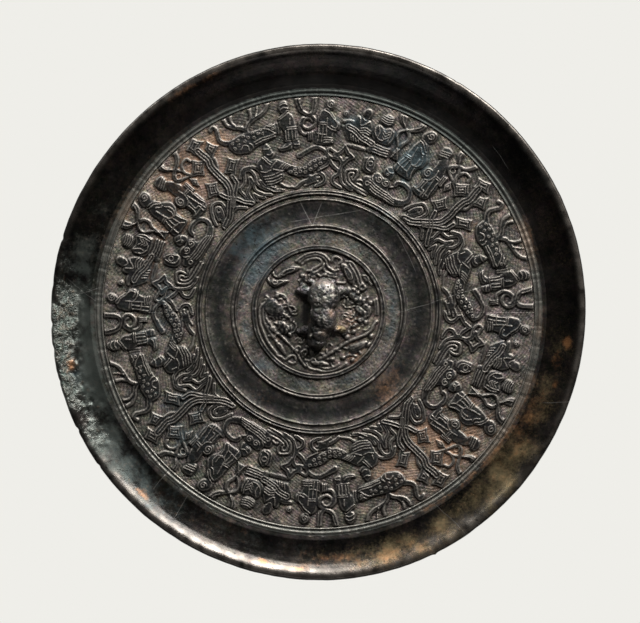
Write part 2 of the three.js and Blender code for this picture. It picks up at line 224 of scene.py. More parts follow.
class Relief:
    """Raised work over a polar grid: solid masses, fine raised threads and cut grooves."""

    def __init__(self, inner, outer, columns, rows):
        self.columns = columns
        self.radius = np.linspace(inner, outer, rows)
        self.turn = np.arange(columns) * 360.0 / columns
        a = np.radians(self.turn)[None, :]
        self.x = self.radius[:, None] * np.sin(a)
        self.y = self.radius[:, None] * np.cos(a)
        self.u = self.x + 0.16 * layered_noise(self.x, self.y, 1.5, 601, 2)
        self.v = self.y + 0.16 * layered_noise(self.x, self.y, 1.5, 611, 2)
        self.mass = np.zeros((rows, columns))
        self.thread = np.zeros((rows, columns))
        self.groove = np.zeros((rows, columns))
        self.at = 0.0

    def window(self, line, margin):
        """The part of the grid around a line in the plane, as an index."""
        radii = np.hypot(line[:, 0], line[:, 1])
        low, high = radii.min() - margin, radii.max() + margin
        rows = np.where((self.radius >= low) & (self.radius <= high))[0]
        turn = np.degrees(np.arctan2(line[:, 0], line[:, 1]))
        first = turn[0]
        swing = (turn - first + 180.0) % 360.0 - 180.0
        extra = np.degrees(margin / max(low, 2.0))
        step = 360.0 / self.columns
        start = int(np.floor((first + swing.min() - extra) / step))
        stop = int(np.ceil((first + swing.max() + extra) / step))
        stop = min(stop, start + self.columns - 1)
        return np.ix_(rows, np.arange(start, stop + 1) % self.columns)

    def line(self, places):
        shifted = np.array(places, dtype=float)
        shifted[:, 0] += self.at
        return to_plane(shifted)

    def raise_mass(self, outline, height=0.55, flank=0.5, crown=0.12):
        """A solid shape with a sloped flank and a slightly crowned top."""
        edge = self.line(outline)
        spot = self.window(edge, 0.8)
        if spot[0].size == 0:
            return
        x, y = self.u[spot], self.v[spot]
        closed = np.vstack([edge, edge[:1]])
        gap = nearest(x, y, closed)[0]
        depth = np.where(inside(x, y, edge), gap, -gap)
        body = height * smoothstep((depth + 0.35 * flank) / flank)
        body += crown * smoothstep(depth / 1.6)
        self.mass[spot] = np.maximum(self.mass[spot], body * (depth > -0.35 * flank))

    def raise_strip(self, route, width, end_width=None, height=0.5, flank=0.4):
        """A rounded strip along a line, which may taper to its end."""
        end_width = width if end_width is None else end_width
        path = self.line(route)
        spot = self.window(path, width)
        if spot[0].size == 0:
            return
        gap, along, _ = nearest(self.u[spot], self.v[spot], path)
        half = 0.58 * (width + (end_width - width) * along)
        body = height * smoothstep((half - gap + 0.35 * flank) / flank)
        body += 0.06 * np.sqrt(np.clip(1.0 - (gap / half) ** 2, 0.0, 1.0)) * (gap < half)
        self.mass[spot] = np.maximum(self.mass[spot], body)

    def lay_ribbon(self, route, width=0.9, height=0.5):
        """A flat raised band along a line, with crisp edges."""
        path = self.line(route)
        spot = self.window(path, width)
        if spot[0].size == 0:
            return
        gap = nearest(self.u[spot], self.v[spot], path)[0]
        body = height * smoothstep((0.5 * width - gap) / 0.3 + 0.5)
        lips = 0.13 * np.exp(-((gap - 0.4 * width) / 0.17) ** 2) * (width > 0.8)
        self.mass[spot] = np.maximum(self.mass[spot], body + lips)

    def lay_thread(self, route, width=0.5, height=0.24):
        """A fine raised line."""
        path = self.line(route)
        spot = self.window(path, width)
        if spot[0].size == 0:
            return
        gap = nearest(self.u[spot], self.v[spot], path)[0]
        body = height * smoothstep(1.15 - gap / (0.56 * width))
        self.thread[spot] = np.maximum(self.thread[spot], body)

    def lay_strands(self, route, offsets, width=0.5, height=0.24, bed=0.5):
        """Several fine raised lines side by side along one route, on a low bed."""
        path = self.line(route)
        reach = max(abs(o) for o in offsets) + width
        spot = self.window(path, reach)
        if spot[0].size == 0:
            return
        gap, along, side = nearest(self.u[spot], self.v[spot], path)
        signed = gap * side
        body = np.zeros_like(gap)
        for offset in offsets:
            body = np.maximum(body, height * smoothstep(1.15 - np.abs(signed - offset) / (0.56 * width)))
        self.thread[spot] = np.maximum(self.thread[spot], body)
        low = bed * smoothstep((reach - gap) / 0.3 + 0.5)
        self.mass[spot] = np.maximum(self.mass[spot], low)

    def nest_outlines(self, outline, rings=2, first=1.1, pitch=0.8, height=0.24, width=0.45, bed=0.5):
        """A raised leaf with fine lines one inside the other and a sunken heart."""
        edge = self.line(outline)
        spot = self.window(edge, 0.9)
        if spot[0].size == 0:
            return
        x, y = self.u[spot], self.v[spot]
        gap = nearest(x, y, np.vstack([edge, edge[:1]]))[0]
        depth = np.where(inside(x, y, edge), gap, -gap)
        body = np.zeros_like(gap)
        for k in range(rings):
            away = np.abs(depth - first - k * pitch)
            body = np.maximum(body, height * smoothstep(1.15 - away / (0.56 * width)))
        self.thread[spot] = np.maximum(self.thread[spot], body)
        leaf = bed * smoothstep(depth / 0.3 + 0.5) + 0.13 * np.exp(-((depth - 0.12) / 0.17) ** 2)
        leaf -= 0.5 * bed * smoothstep((depth - first - (rings - 1) * pitch - 0.3) / 0.3)
        self.mass[spot] = np.maximum(self.mass[spot], leaf)

    def cut_groove(self, route, width=0.5, depth=0.2):
        path = self.line(route)
        spot = self.window(path, width)
        if spot[0].size == 0:
            return
        gap = nearest(self.u[spot], self.v[spot], path)[0]
        self.groove[spot] = np.maximum(self.groove[spot], depth * smoothstep(1.0 - gap / (0.6 * width)))


# ---------------------------------------------------------------- motifs of the figured band

def zither_player(r):
    r.raise_mass(loop([(13.0, 69.4), (13.2, 71.6), (14.6, 72.6), (15.8, 71.6), (15.6, 69.6), (14.4, 68.4)]))
    r.raise_mass(loop([(11.3, 69.0), (12.6, 69.4), (14.2, 68.6), (15.6, 68.6), (16.8, 66.4), (17.0, 63.8),
                       (15.4, 62.4), (12.6, 63.2), (11.2, 65.2)]))
    r.lay_thread(curve([(12.8, 69.8), (14.0, 68.2), (15.2, 69.2)]))
    r.lay_thread(curve([(12.6, 68.6), (13.2, 66.0), (15.2, 67.8)]))
    for drop in (0.0, 0.85, 1.7):
        r.lay_thread(curve([(13.4, 65.2 - drop), (15.0, 65.6 - drop), (16.6, 65.0 - drop)]))
    r.lay_thread(curve([(14.6, 61.9), (15.7, 62.8), (16.7, 61.8)]))
    board = [(7.3, 65.2), (8.4, 65.4), (11.8, 64.6), (15.4, 62.2), (18.2, 61.4), (17.6, 59.8),
             (13.0, 59.9), (9.8, 60.2), (8.6, 62.0)]
    r.raise_mass(corners(board), height=0.42)
    r.lay_strands(curve([(9.6, 64.8), (12.0, 63.8), (14.2, 62.2), (18.0, 60.9)]), (-0.9, 0.0, 0.9))
    for k in range(4):
        r.lay_thread(curve([(10.6 + 0.9 * k, 62.4 - 0.5 * k), (11.0 + 0.9 * k, 60.6 - 0.2 * k)]))
    r.raise_strip(curve([(8.2, 66.6), (9.8, 66.9), (11.4, 66.4)]), 1.3, 1.5)
    r.raise_mass(oval(8.2, 69.2, 1.2, 1.3), height=0.4)
    r.lay_thread(spiral(8.2, 69.2, 0.9, 1.2))
    r.raise_mass(loop([(8.6, 58.8), (12.4, 59.4), (16.8, 59.0), (16.4, 57.8), (12.0, 57.8)]), height=0.4)


def robed_listener(r):
    """The tall figure with a wide right sleeve, left of the zither."""
    r.raise_mass(loop([(2.4, 70.6), (2.6, 72.8), (4.0, 73.8), (5.2, 72.6), (5.0, 70.6), (3.8, 69.6)]))
    r.lay_thread(spiral(3.9, 71.7, 1.3, 1.4, 90))
    r.raise_mass(loop([(1.0, 69.6), (2.8, 70.2), (4.6, 68.6), (5.4, 67.2), (7.0, 65.8), (7.1, 63.8),
                       (5.6, 62.3), (5.2, 60.6), (5.4, 58.4), (2.6, 57.8), (-0.4, 58.0), (-0.5, 60.6),
                       (0.3, 63.6), (0.1, 66.6)]))
    r.lay_strands(curve([(2.6, 70.0), (4.0, 68.9), (5.2, 67.2)]), (-0.4, 0.4), width=0.5, bed=0)
    r.lay_thread(curve([(3.1, 67.0), (3.0, 64.2), (3.1, 60.4)]))
    for level in (65.6, 64.9):
        r.lay_thread(curve([(0.9, level), (2.8, level - 0.1)]))
    r.lay_thread(curve([(3.2, 64.2), (4.6, 63.2), (6.4, 62.8)]))
    r.lay_thread(curve([(5.4, 66.6), (6.3, 65.2), (5.8, 63.8), (4.4, 64.4)]))
    r.lay_thread(curve([(1.9, 64.6), (1.7, 62.0), (1.4, 58.8)]))
    r.lay_thread(curve([(0.7, 64.4), (0.5, 61.6), (0.1, 59.0)]))
    for level in (60.3, 59.5, 58.7):
        r.lay_thread(curve([(2.2, level - 0.1), (3.8, level + 0.1), (5.3, level)]))
    r.lay_thread(curve([(-0.2, 61.9), (1.6, 61.4), (3.0, 61.5)]))


def seated_listener(r):
    r.raise_mass(loop([(18.6, 68.8), (18.4, 71.0), (20.0, 72.6), (21.9, 72.2), (22.4, 70.2), (21.2, 68.2)]))
    for k in range(4):
        r.lay_thread(curve([(18.9, 69.6 + 0.75 * k), (20.4, 69.0 + 0.8 * k), (22.0, 69.4 + 0.8 * k)]),
                     width=0.5)
    r.raise_mass(loop([(17.2, 64.2), (17.4, 66.8), (18.6, 68.4), (20.4, 67.6), (22.0, 68.4), (23.6, 67.6),
                       (24.2, 65.0), (23.6, 62.4), (20.6, 61.8), (18.2, 62.4)]))
    r.lay_thread(curve([(18.7, 67.6), (19.4, 65.8), (19.2, 64.2)]))
    r.lay_thread(curve([(17.8, 66.6), (18.2, 64.6), (19.6, 63.2), (21.0, 63.2)]))
    for k in range(3):
        r.lay_thread(corners([(20.4 + 0.1 * k, 66.6 - k), (21.3, 65.6 - k), (22.3, 66.8 - k),
                              (21.3, 65.62 - k)]), width=0.5)
    r.lay_thread(curve([(22.5, 68.2), (22.8, 66.0), (22.5, 63.4)]))
    r.lay_thread(curve([(23.3, 67.4), (23.7, 65.4), (23.2, 63.0)]))
    r.raise_mass(corners([(18.4, 61.6), (24.4, 61.8), (24.5, 58.0), (18.6, 57.8)]), height=0.38)
    for level in (61.2, 60.3, 59.4, 58.5):
        r.lay_thread(curve([(19.0, level), (21.4, level - 0.15), (24.3, level + 0.1)]))
    r.raise_mass(oval(18.0, 59.0, 1.2, 1.3), height=0.5)


def vase_plant(r, at=26.4):
    """Two leaves fork from the neck of a pear-shaped loop on a spreading foot."""
    r.raise_mass(loop([(at - 3.3, 74.4), (at - 3.4, 72.8), (at - 2.2, 71.0), (at - 0.1, 69.7),
                       (at - 0.7, 71.4), (at - 1.0, 73.2), (at - 1.2, 74.5)]))
    r.lay_thread(curve([(at - 2.5, 74.0), (at - 2.2, 72.4), (at - 0.9, 70.8)]), width=0.5)
    r.raise_strip(curve([(at, 69.8), (at + 1.6, 70.8), (at + 3.0, 72.2), (at + 3.6, 74.4)]), 1.1, 2.2)
    r.lay_thread(curve([(at + 2.0, 71.6), (at + 3.1, 73.0), (at + 3.4, 74.4)]), width=0.5)
    left = [(at, 69.9), (at - 1.6, 68.4), (at - 1.9, 66.6), (at - 1.0, 64.9), (at - 0.2, 63.6)]
    right = [(at, 69.9), (at + 1.4, 68.4), (at + 1.5, 66.4), (at + 0.7, 65.0), (at + 0.2, 63.6)]
    r.raise_strip(curve(left), 1.2)
    r.raise_strip(curve(right), 1.3)
    r.lay_thread(curve(left), width=0.4, height=0.16)
    foot = [(at - 0.5, 63.8), (at + 0.5, 63.8), (at + 1.9, 58.7), (at - 1.5, 58.7)]
    r.raise_mass(corners(foot))
    r.lay_thread(curve([(at - 0.4, 62.8), (at + 1.5, 58.9)]), width=0.45)
    r.lay_thread(curve([(at + 0.5, 62.8), (at - 1.1, 58.9)]), width=0.45)


def attendant_with_train(r, at=0.0):
    """A standing figure that faces left, one wide sleeve folded in front."""
    r.raise_mass(loop([(31.2, 70.0), (31.0, 71.4), (31.9, 73.2), (33.2, 74.2), (34.8, 73.6), (35.1, 71.4),
                       (34.2, 69.6), (32.4, 69.0)]))
    r.lay_thread(spiral(33.4, 72.2, 1.3, 1.3, 200))
    r.raise_mass(loop([(31.2, 68.8), (30.2, 66.4), (29.9, 63.8), (29.4, 61.4), (28.3, 58.6), (27.9, 56.4),
                       (29.6, 55.1), (32.4, 54.9), (35.2, 55.1), (35.1, 57.6), (35.4, 59.8), (36.6, 61.4),
                       (36.9, 63.8), (35.8, 65.8), (34.8, 67.0), (34.4, 69.0), (32.8, 69.6)]))
    r.lay_strands(curve([(31.6, 69.2), (33.2, 68.4), (34.5, 66.8)]), (-0.4, 0.45), width=0.5, bed=0)
    r.lay_thread(curve([(31.8, 66.2), (31.8, 64.0), (31.7, 62.2)]))
    for level in (62.5, 61.8):
        r.lay_thread(curve([(29.7, level), (31.9, level - 0.1)]))
    r.lay_thread(curve([(31.9, 63.4), (32.1, 61.0), (33.3, 60.2), (34.1, 61.2), (34.2, 63.0)]))
    r.lay_thread(curve([(33.6, 59.9), (35.0, 61.0), (35.3, 63.0), (34.4, 64.6)]))
    r.lay_thread(curve([(32.7, 66.9), (33.5, 65.6), (34.4, 65.4)]))
    r.lay_thread(curve([(30.9, 61.6), (29.9, 58.8), (29.5, 55.6)]))
    r.lay_thread(curve([(31.7, 61.2), (31.2, 57.8), (32.6, 57.3), (33.8, 55.8)]))
    r.lay_thread(curve([(32.8, 60.1), (32.8, 57.5)]))
    r.lay_thread(curve([(28.4, 58.4), (30.0, 58.0), (31.3, 57.7)]))
    r.lay_thread(curve([(34.3, 59.6), (34.4, 57.6), (35.0, 56.0)]))


def attendant_with_curled_sleeve(r):
    """A standing figure that faces left and holds up a sleeve wound in a curl."""
    r.raise_mass(loop([(37.6, 69.0), (37.5, 70.6), (37.8, 72.0), (39.4, 72.7), (41.0, 72.0), (41.0, 70.0),
                       (40.0, 68.0), (38.4, 67.4)]))
    for k in range(3):
        r.lay_thread(curve([(38.0, 68.4 + 0.9 * k), (39.2, 68.9 + 0.9 * k), (40.6, 69.4 + 0.9 * k)]),
                     width=0.5)
    r.raise_mass(loop([(39.0, 67.2), (38.9, 64.4), (38.9, 62.6), (38.3, 58.6), (38.2, 55.4), (36.8, 54.4),
                       (37.4, 53.1), (40.4, 52.5), (43.4, 53.0), (44.6, 55.2), (44.6, 58.4), (43.8, 60.8),
                       (43.2, 63.2), (42.8, 65.6), (41.8, 68.0), (40.6, 69.4)]))
    r.raise_mass(oval(38.5, 61.0, 1.9, 2.4), height=0.6)
    r.lay_thread(spiral(38.6, 61.1, 1.55, 1.6, 60, hand=1, squash=1.15))
    r.lay_thread(curve([(40.9, 64.0), (41.1, 61.4), (40.4, 59.4), (39.0, 58.5)]))
    for level in (62.1, 61.4):
        r.lay_thread(curve([(41.2, level), (43.2, level - 0.1)]))
    r.lay_thread(curve([(41.5, 60.6), (42.0, 57.0), (42.6, 53.4)]))
    r.lay_thread(curve([(40.3, 58.6), (40.2, 55.6), (41.5, 55.3), (41.4, 53.1)]))
    r.lay_thread(curve([(39.3, 58.0), (39.2, 55.4), (38.4, 54.2)]))
    r.lay_thread(curve([(43.2, 60.4), (43.4, 57.2), (44.0, 54.6)]))
    r.lay_thread(curve([(37.4, 54.6), (39.6, 54.2), (43.8, 54.8)]), height=0.18)


def potted_plant(r):
    """A forked plant over a small ribbed pot, with a crumpled leaf beside it."""
    r.raise_mass(loop([(41.7, 74.5), (41.8, 72.6), (42.8, 71.0), (44.5, 69.9), (44.1, 71.6), (43.5, 73.0),
                       (43.4, 74.5)]))
    r.lay_thread(curve([(42.6, 74.3), (42.8, 72.4), (43.8, 71.0)]), width=0.5)
    r.raise_strip(curve([(44.6, 70.0), (46.0, 70.7), (47.3, 72.4), (47.8, 74.4)]), 1.1, 1.7)
    r.raise_strip(curve([(44.6, 70.0), (43.0, 68.4), (42.6, 66.9), (43.9, 65.8), (45.8, 65.0), (47.0, 64.4)]),
                  1.3, 1.0)
    r.raise_strip(curve([(44.6, 70.0), (45.4, 68.6), (46.2, 67.2)]), 1.2, 0.9)
    r.lay_thread(oval(43.9, 67.4, 0.9, 0.8)[[*range(16), 0]])
    pot = [(42.6, 64.2), (44.6, 64.4), (44.8, 60.0), (43.0, 59.6)]
    r.raise_mass(corners(pot))
    for side in (43.1, 43.7, 44.3):
        r.lay_thread(curve([(side, 63.8), (side + 0.15, 60.3)]), width=0.42)
    r.nest_outlines(corners([(45.8, 64.4), (47.5, 62.4), (46.4, 59.8), (45.2, 61.8)]), 1, 0.9)


def ringed_plant(r, at=87.0):
    """A forked plant whose stem winds in a ring over a small pot."""
    r.raise_strip(curve([(at, 68.4), (at - 1.4, 69.2), (at - 2.3, 70.8), (at - 2.7, 74.4)]), 1.3, 2.0)
    r.raise_strip(curve([(at + 0.2, 68.4), (at + 1.5, 69.8), (at + 1.9, 74.4)]), 1.2, 1.8)
    r.lay_thread(curve([(at - 1.9, 70.6), (at - 2.5, 74.4)]), width=0.45)
    ring = [(at + 0.6, 68.2), (at + 1.8, 66.6), (at + 1.6, 64.6), (at, 63.6), (at - 1.6, 64.2),
            (at - 2.0, 65.6), (at - 1.0, 67.0), (at + 0.4, 67.0), (at + 0.9, 66.0)]
    r.raise_strip(curve(ring), 1.3, 0.9)
    r.raise_strip(curve([(at - 1.6, 67.2), (at - 2.8, 65.4), (at - 2.9, 63.2), (at - 1.8, 61.8),
                         (at - 0.2, 61.8)]), 1.4, 1.1)
    r.raise_mass(corners([(at - 0.9, 62.4), (at + 1.3, 62.6), (at + 1.2, 59.3), (at - 0.8, 59.2)]))
    for side in (-0.4, 0.2, 0.8):
        r.lay_thread(curve([(at + side, 62.2), (at + side, 59.5)]), width=0.42)


def hunter(r):
    """A standing figure in a short coat and boots, hands out to the cat on the left."""
    r.raise_mass(loop([(79.0, 70.2), (78.8, 72.0), (79.6, 73.8), (80.8, 74.4), (81.7, 73.2), (81.9, 71.4),
                       (81.2, 70.0), (80.0, 69.6)]))
    r.lay_thread(curve([(79.2, 71.0), (80.4, 71.6), (81.6, 71.2)]), width=0.5)
    r.lay_thread(curve([(79.4, 72.6), (80.6, 73.0), (81.6, 72.4)]), width=0.5)
    r.raise_mass(loop([(78.3, 67.8), (79.0, 69.0), (80.6, 70.0), (82.2, 69.4), (83.0, 67.4), (83.3, 64.4),
                       (83.6, 60.4), (81.4, 60.0), (78.9, 60.0), (79.1, 63.2), (78.2, 65.6)]))
    r.lay_strands(curve([(78.6, 68.2), (80.2, 69.2), (81.4, 70.1)]), (-0.35, 0.4), width=0.45, bed=0)
    r.lay_thread(curve([(81.6, 67.6), (81.3, 65.6)]))
    for level in (64.7, 64.0):
        r.lay_thread(curve([(80.3, level), (83.3, level - 0.1)]))
    for side in (79.6, 80.5, 81.7, 82.7):
        r.lay_thread(curve([(side, 63.6), (side - 0.1, 60.6)]), width=0.5)
    r.lay_thread(curve([(79.0, 60.2), (81.2, 60.0), (83.6, 60.3)]))
    for side in (76.9, 77.6, 78.3):
        r.raise_strip(curve([(side, 66.9), (side + 0.1, 65.0), (side - 0.1, 63.2)]), 0.62, height=0.42)
    r.raise_mass(loop([(76.2, 58.6), (78.0, 58.9), (79.4, 60.0), (81.0, 59.8), (81.0, 57.3), (78.8, 56.8),
                       (76.8, 57.1)]))
    r.lay_thread(curve([(77.2, 58.2), (79.2, 58.0), (80.4, 58.7)]))
    r.raise_mass(loop([(81.4, 59.9), (83.6, 60.1), (84.0, 58.2), (83.4, 57.2), (81.6, 57.0)]))
    r.lay_thread(curve([(81.8, 58.6), (83.6, 58.3)]))


def prowling_cat(r):
    """The cat of the upper row, its tail raised behind it, its head to the right."""
    r.raise_strip(curve([(59.1, 73.0), (60.2, 73.6), (60.7, 72.2), (60.3, 70.4), (60.0, 68.6), (60.8, 67.0),
                         (62.8, 65.8)]), 1.3, 1.8)
    r.raise_mass(loop([(61.7, 65.9), (63.6, 66.9), (66.4, 67.2), (69.6, 66.9), (72.6, 66.6), (74.4, 67.1),
                       (76.2, 67.2), (77.2, 65.8), (76.9, 64.0), (76.4, 62.3), (74.0, 61.6), (70.6, 61.2),
                       (68.6, 60.7), (66.8, 60.0), (64.2, 60.5), (62.2, 61.8), (61.4, 63.8)]), height=0.62)
    r.lay_thread(curve([(64.6, 62.2), (65.8, 63.0), (66.9, 62.2), (66.8, 60.9)]))
    r.lay_thread(curve([(67.8, 62.9), (68.4, 61.8), (68.3, 60.9)]))
    r.lay_thread(curve([(69.2, 62.7), (72.4, 63.2), (75.0, 63.2), (76.5, 63.6)]))
    r.lay_thread(curve([(69.4, 61.9), (73.0, 62.4), (76.2, 62.5)]), width=0.5)
    r.lay_thread(curve([(73.0, 66.4), (74.4, 65.6), (75.2, 64.9), (76.3, 63.6)]))
    r.lay_thread(curve([(74.4, 67.0), (75.3, 66.2), (76.5, 66.6)]))
    r.lay_thread(oval(76.0, 65.4, 0.42, 0.4)[[*range(16), 0]], width=0.4)
    spots = [(63.0, 65.2), (62.9, 63.2), (64.8, 65.6), (64.6, 63.9), (66.6, 66.0), (66.6, 64.2), (68.2, 65.1),
             (69.8, 66.0), (69.6, 64.3), (71.3, 65.2), (72.7, 64.4), (72.3, 66.1)]
    for k, (a, d) in enumerate(spots):
        r.lay_thread(spiral(a, d, 0.62, 1.0, 40 + 75 * k, hand=1 - 2 * (k % 2)), width=0.42, height=0.2)


def antler_branch(r):
    r.raise_strip(curve([(68.2, 67.4), (67.0, 69.0), (65.0, 70.3), (63.8, 71.9), (63.5, 74.4)]), 1.6, 1.3)
    r.raise_strip(curve([(68.2, 67.6), (69.5, 69.5), (71.6, 70.4), (73.8, 71.3), (75.3, 72.7), (76.0, 74.4)]),
                  1.5, 1.3)
    r.raise_strip(curve([(70.0, 70.0), (70.8, 72.0), (71.0, 74.4)]), 1.0, 1.3)
    r.raise_strip(curve([(66.0, 70.0), (65.2, 72.2), (65.5, 74.4)]), 0.9, 1.1)
    r.lay_thread(curve([(72.0, 71.0), (72.8, 72.6), (73.2, 74.4)]), width=0.7, height=0.36)


def seated_keeper(r):
    """A seated figure in a pointed cap, arms stretched out to the spotted cat."""
    r.raise_mass(loop([(70.9, 56.8), (70.8, 59.0), (71.7, 60.5), (72.9, 61.3), (73.7, 59.8), (74.2, 58.2),
                       (74.7, 56.8), (73.8, 55.6), (72.2, 55.4)]))
    r.lay_thread(curve([(71.2, 59.4), (72.6, 59.0), (73.8, 59.4)]), width=0.5)
    r.lay_thread(curve([(71.9, 57.2), (72.8, 56.8), (73.9, 57.4)]), width=0.45)
    r.raise_mass(loop([(66.7, 54.0), (67.3, 55.8), (68.8, 56.8), (70.8, 57.0), (72.6, 55.4), (74.6, 55.1),
                       (77.2, 53.4), (80.8, 51.4), (83.4, 50.8), (82.2, 49.9), (78.8, 49.8), (76.4, 50.2),
                       (76.2, 48.4), (74.4, 47.0), (71.6, 46.4), (68.8, 46.8), (66.8, 48.8), (67.2, 51.6)]))
    r.lay_thread(curve([(69.9, 56.9), (70.9, 55.0), (71.8, 53.5)]))
    r.lay_thread(curve([(70.7, 56.9), (71.7, 55.2), (72.5, 54.2)]))
    r.lay_thread(curve([(71.7, 52.5), (73.0, 53.3), (74.5, 54.2)]))
    r.lay_thread(curve([(72.3, 51.8), (74.4, 50.7), (76.4, 50.4)]))
    for k in range(4):
        r.lay_thread(curve([(74.8 + 0.9 * k, 51.5 - 0.25 * k), (76.2 + 0.85 * k, 52.4 - 0.35 * k),
                            (77.4 + 0.8 * k, 53.0 - 0.5 * k)]), width=0.5)
    for k, level in enumerate((50.4, 49.4, 48.4, 47.5)):
        r.lay_thread(curve([(68.0, level), (71.4, level - 0.6), (75.6 - 0.4 * k, level - 0.1)]))
    r.lay_thread(curve([(68.4, 54.4), (68.5, 53.0)]))
    r.lay_thread(curve([(67.6, 52.4), (69.4, 51.6), (71.4, 51.8)]))
    r.raise_strip(curve([(73.4, 46.4), (75.2, 45.1), (77.6, 44.3), (80.2, 43.7)]), 1.0, 0.8, height=0.42)
    r.lay_thread(curve([(69.4, 46.4), (71.8, 44.9), (74.6, 44.0)]))
    r.lay_thread(curve([(67.6, 46.2), (69.6, 44.6), (72.0, 43.7)]))


def spotted_cat(r):
    """The cat of the lower row, which climbs to the right with its tail arched over it."""
    r.raise_mass(loop([(77.2, 49.8), (79.4, 50.6), (81.8, 50.8), (84.0, 50.9), (86.4, 52.3), (89.0, 53.5),
                       (91.4, 54.0), (93.6, 54.8), (94.2, 53.4), (92.6, 51.7), (90.4, 50.3), (88.4, 48.8),
                       (86.4, 48.0), (84.4, 47.3), (81.6, 47.1), (79.2, 48.0)]), height=0.62)
    spots = [(78.6, 49.3), (80.4, 49.9), (80.6, 48.4), (82.5, 49.0), (82.4, 50.2), (84.5, 50.2), (84.5, 48.5),
             (86.5, 51.2), (86.7, 49.4), (88.4, 52.3), (88.8, 50.6), (90.1, 52.9), (90.7, 51.4), (92.2, 53.2)]
    for a, d in spots:
        r.lay_thread(oval(a, d, 0.52, 0.42)[[*range(16), 0]], width=0.42, height=0.2)
    r.raise_strip(curve([(93.2, 54.0), (92.3, 55.7), (90.4, 56.8), (88.2, 56.9), (86.2, 56.0), (84.4, 55.2),
                         (82.9, 54.5)]), 1.2, 1.8)
    r.raise_strip(curve([(79.8, 43.8), (82.2, 45.0), (85.0, 45.8), (88.4, 46.0)]), 1.3, 1.4)
    r.raise_strip(curve([(84.0, 47.4), (86.4, 47.3), (88.6, 46.6)]), 0.9, 1.0)
    r.lay_thread(curve([(88.0, 48.2), (90.6, 49.2), (93.6, 50.6)]))


def star(angle, radius, reach, waist=0.58):
    """A four-pointed star with hollow sides, as places on the ring."""
    places = []
    for k in range(8):
        turn = math.radians(45.0 * k)
        out = reach * (1.0 if k % 2 == 0 else waist)
        places.append((angle + math.degrees(out * math.sin(turn) / radius), radius + out * math.cos(turn)))
    return corners(places)


def star_tree(r):
    """A hollow-sided star and a pointed arch on flaring stems that rise from the ring."""
    top = star(9.9, 54.8, 3.1, 0.52)
    r.lay_ribbon(np.vstack([top, top[:1]]), 1.45)
    r.lay_ribbon(curve([(7.1, 55.6), (5.7, 56.2), (4.4, 56.7), (3.7, 55.3), (5.1, 53.9), (7.3, 53.5),
                        (8.9, 53.4)]), 1.0)
    for side in (-1.0, 1.0):
        r.lay_ribbon(curve([(4.9, 52.6), (4.9 + 1.2 * side, 51.0), (4.9 + 2.6 * side, 50.0),
                            (4.9 + 4.0 * side, 49.4)]), 1.4)
        r.lay_ribbon(curve([(4.9 + 4.0 * side, 49.4), (4.9 + 3.8 * side, 48.2), (4.9 + 2.4 * side, 47.3),
                            (4.9 + 1.7 * side, 46.2), (4.9 + 2.2 * side, 44.8), (4.9 + 5.6 * side, 43.5)]), 1.4)
    r.lay_ribbon(curve([(9.8, 52.4), (9.4, 50.4), (9.8, 47.4), (11.4, 45.0), (15.6, 43.5)]), 1.1)
    r.lay_ribbon(curve([(15.9, 47.4), (16.4, 49.6), (15.4, 50.8), (13.0, 50.5), (11.7, 49.8), (11.6, 47.8),
                        (12.6, 46.0), (15.0, 44.8), (19.0, 43.9), (22.5, 43.4)]), 0.85)
    r.lay_ribbon(curve([(14.9, 48.4), (14.6, 49.4), (13.2, 49.2), (13.0, 47.6), (14.4, 46.2), (17.4, 45.1),
                        (23.0, 44.5)]), 0.8)
    r.lay_ribbon(curve([(14.4, 47.9), (15.2, 47.0), (17.6, 46.3), (21.6, 45.7)]), 0.75)
    r.lay_ribbon(curve([(16.6, 47.2), (18.2, 47.9), (19.6, 47.4)]), 0.8)
    for k in range(3):
        r.lay_ribbon(curve([(-5.6 + k, 43.9 + 1.3 * k), (-2.6 + k, 44.9 + 1.3 * k), (0.2 + 0.6 * k, 45.2 + 1.4 * k)]),
                     0.85)


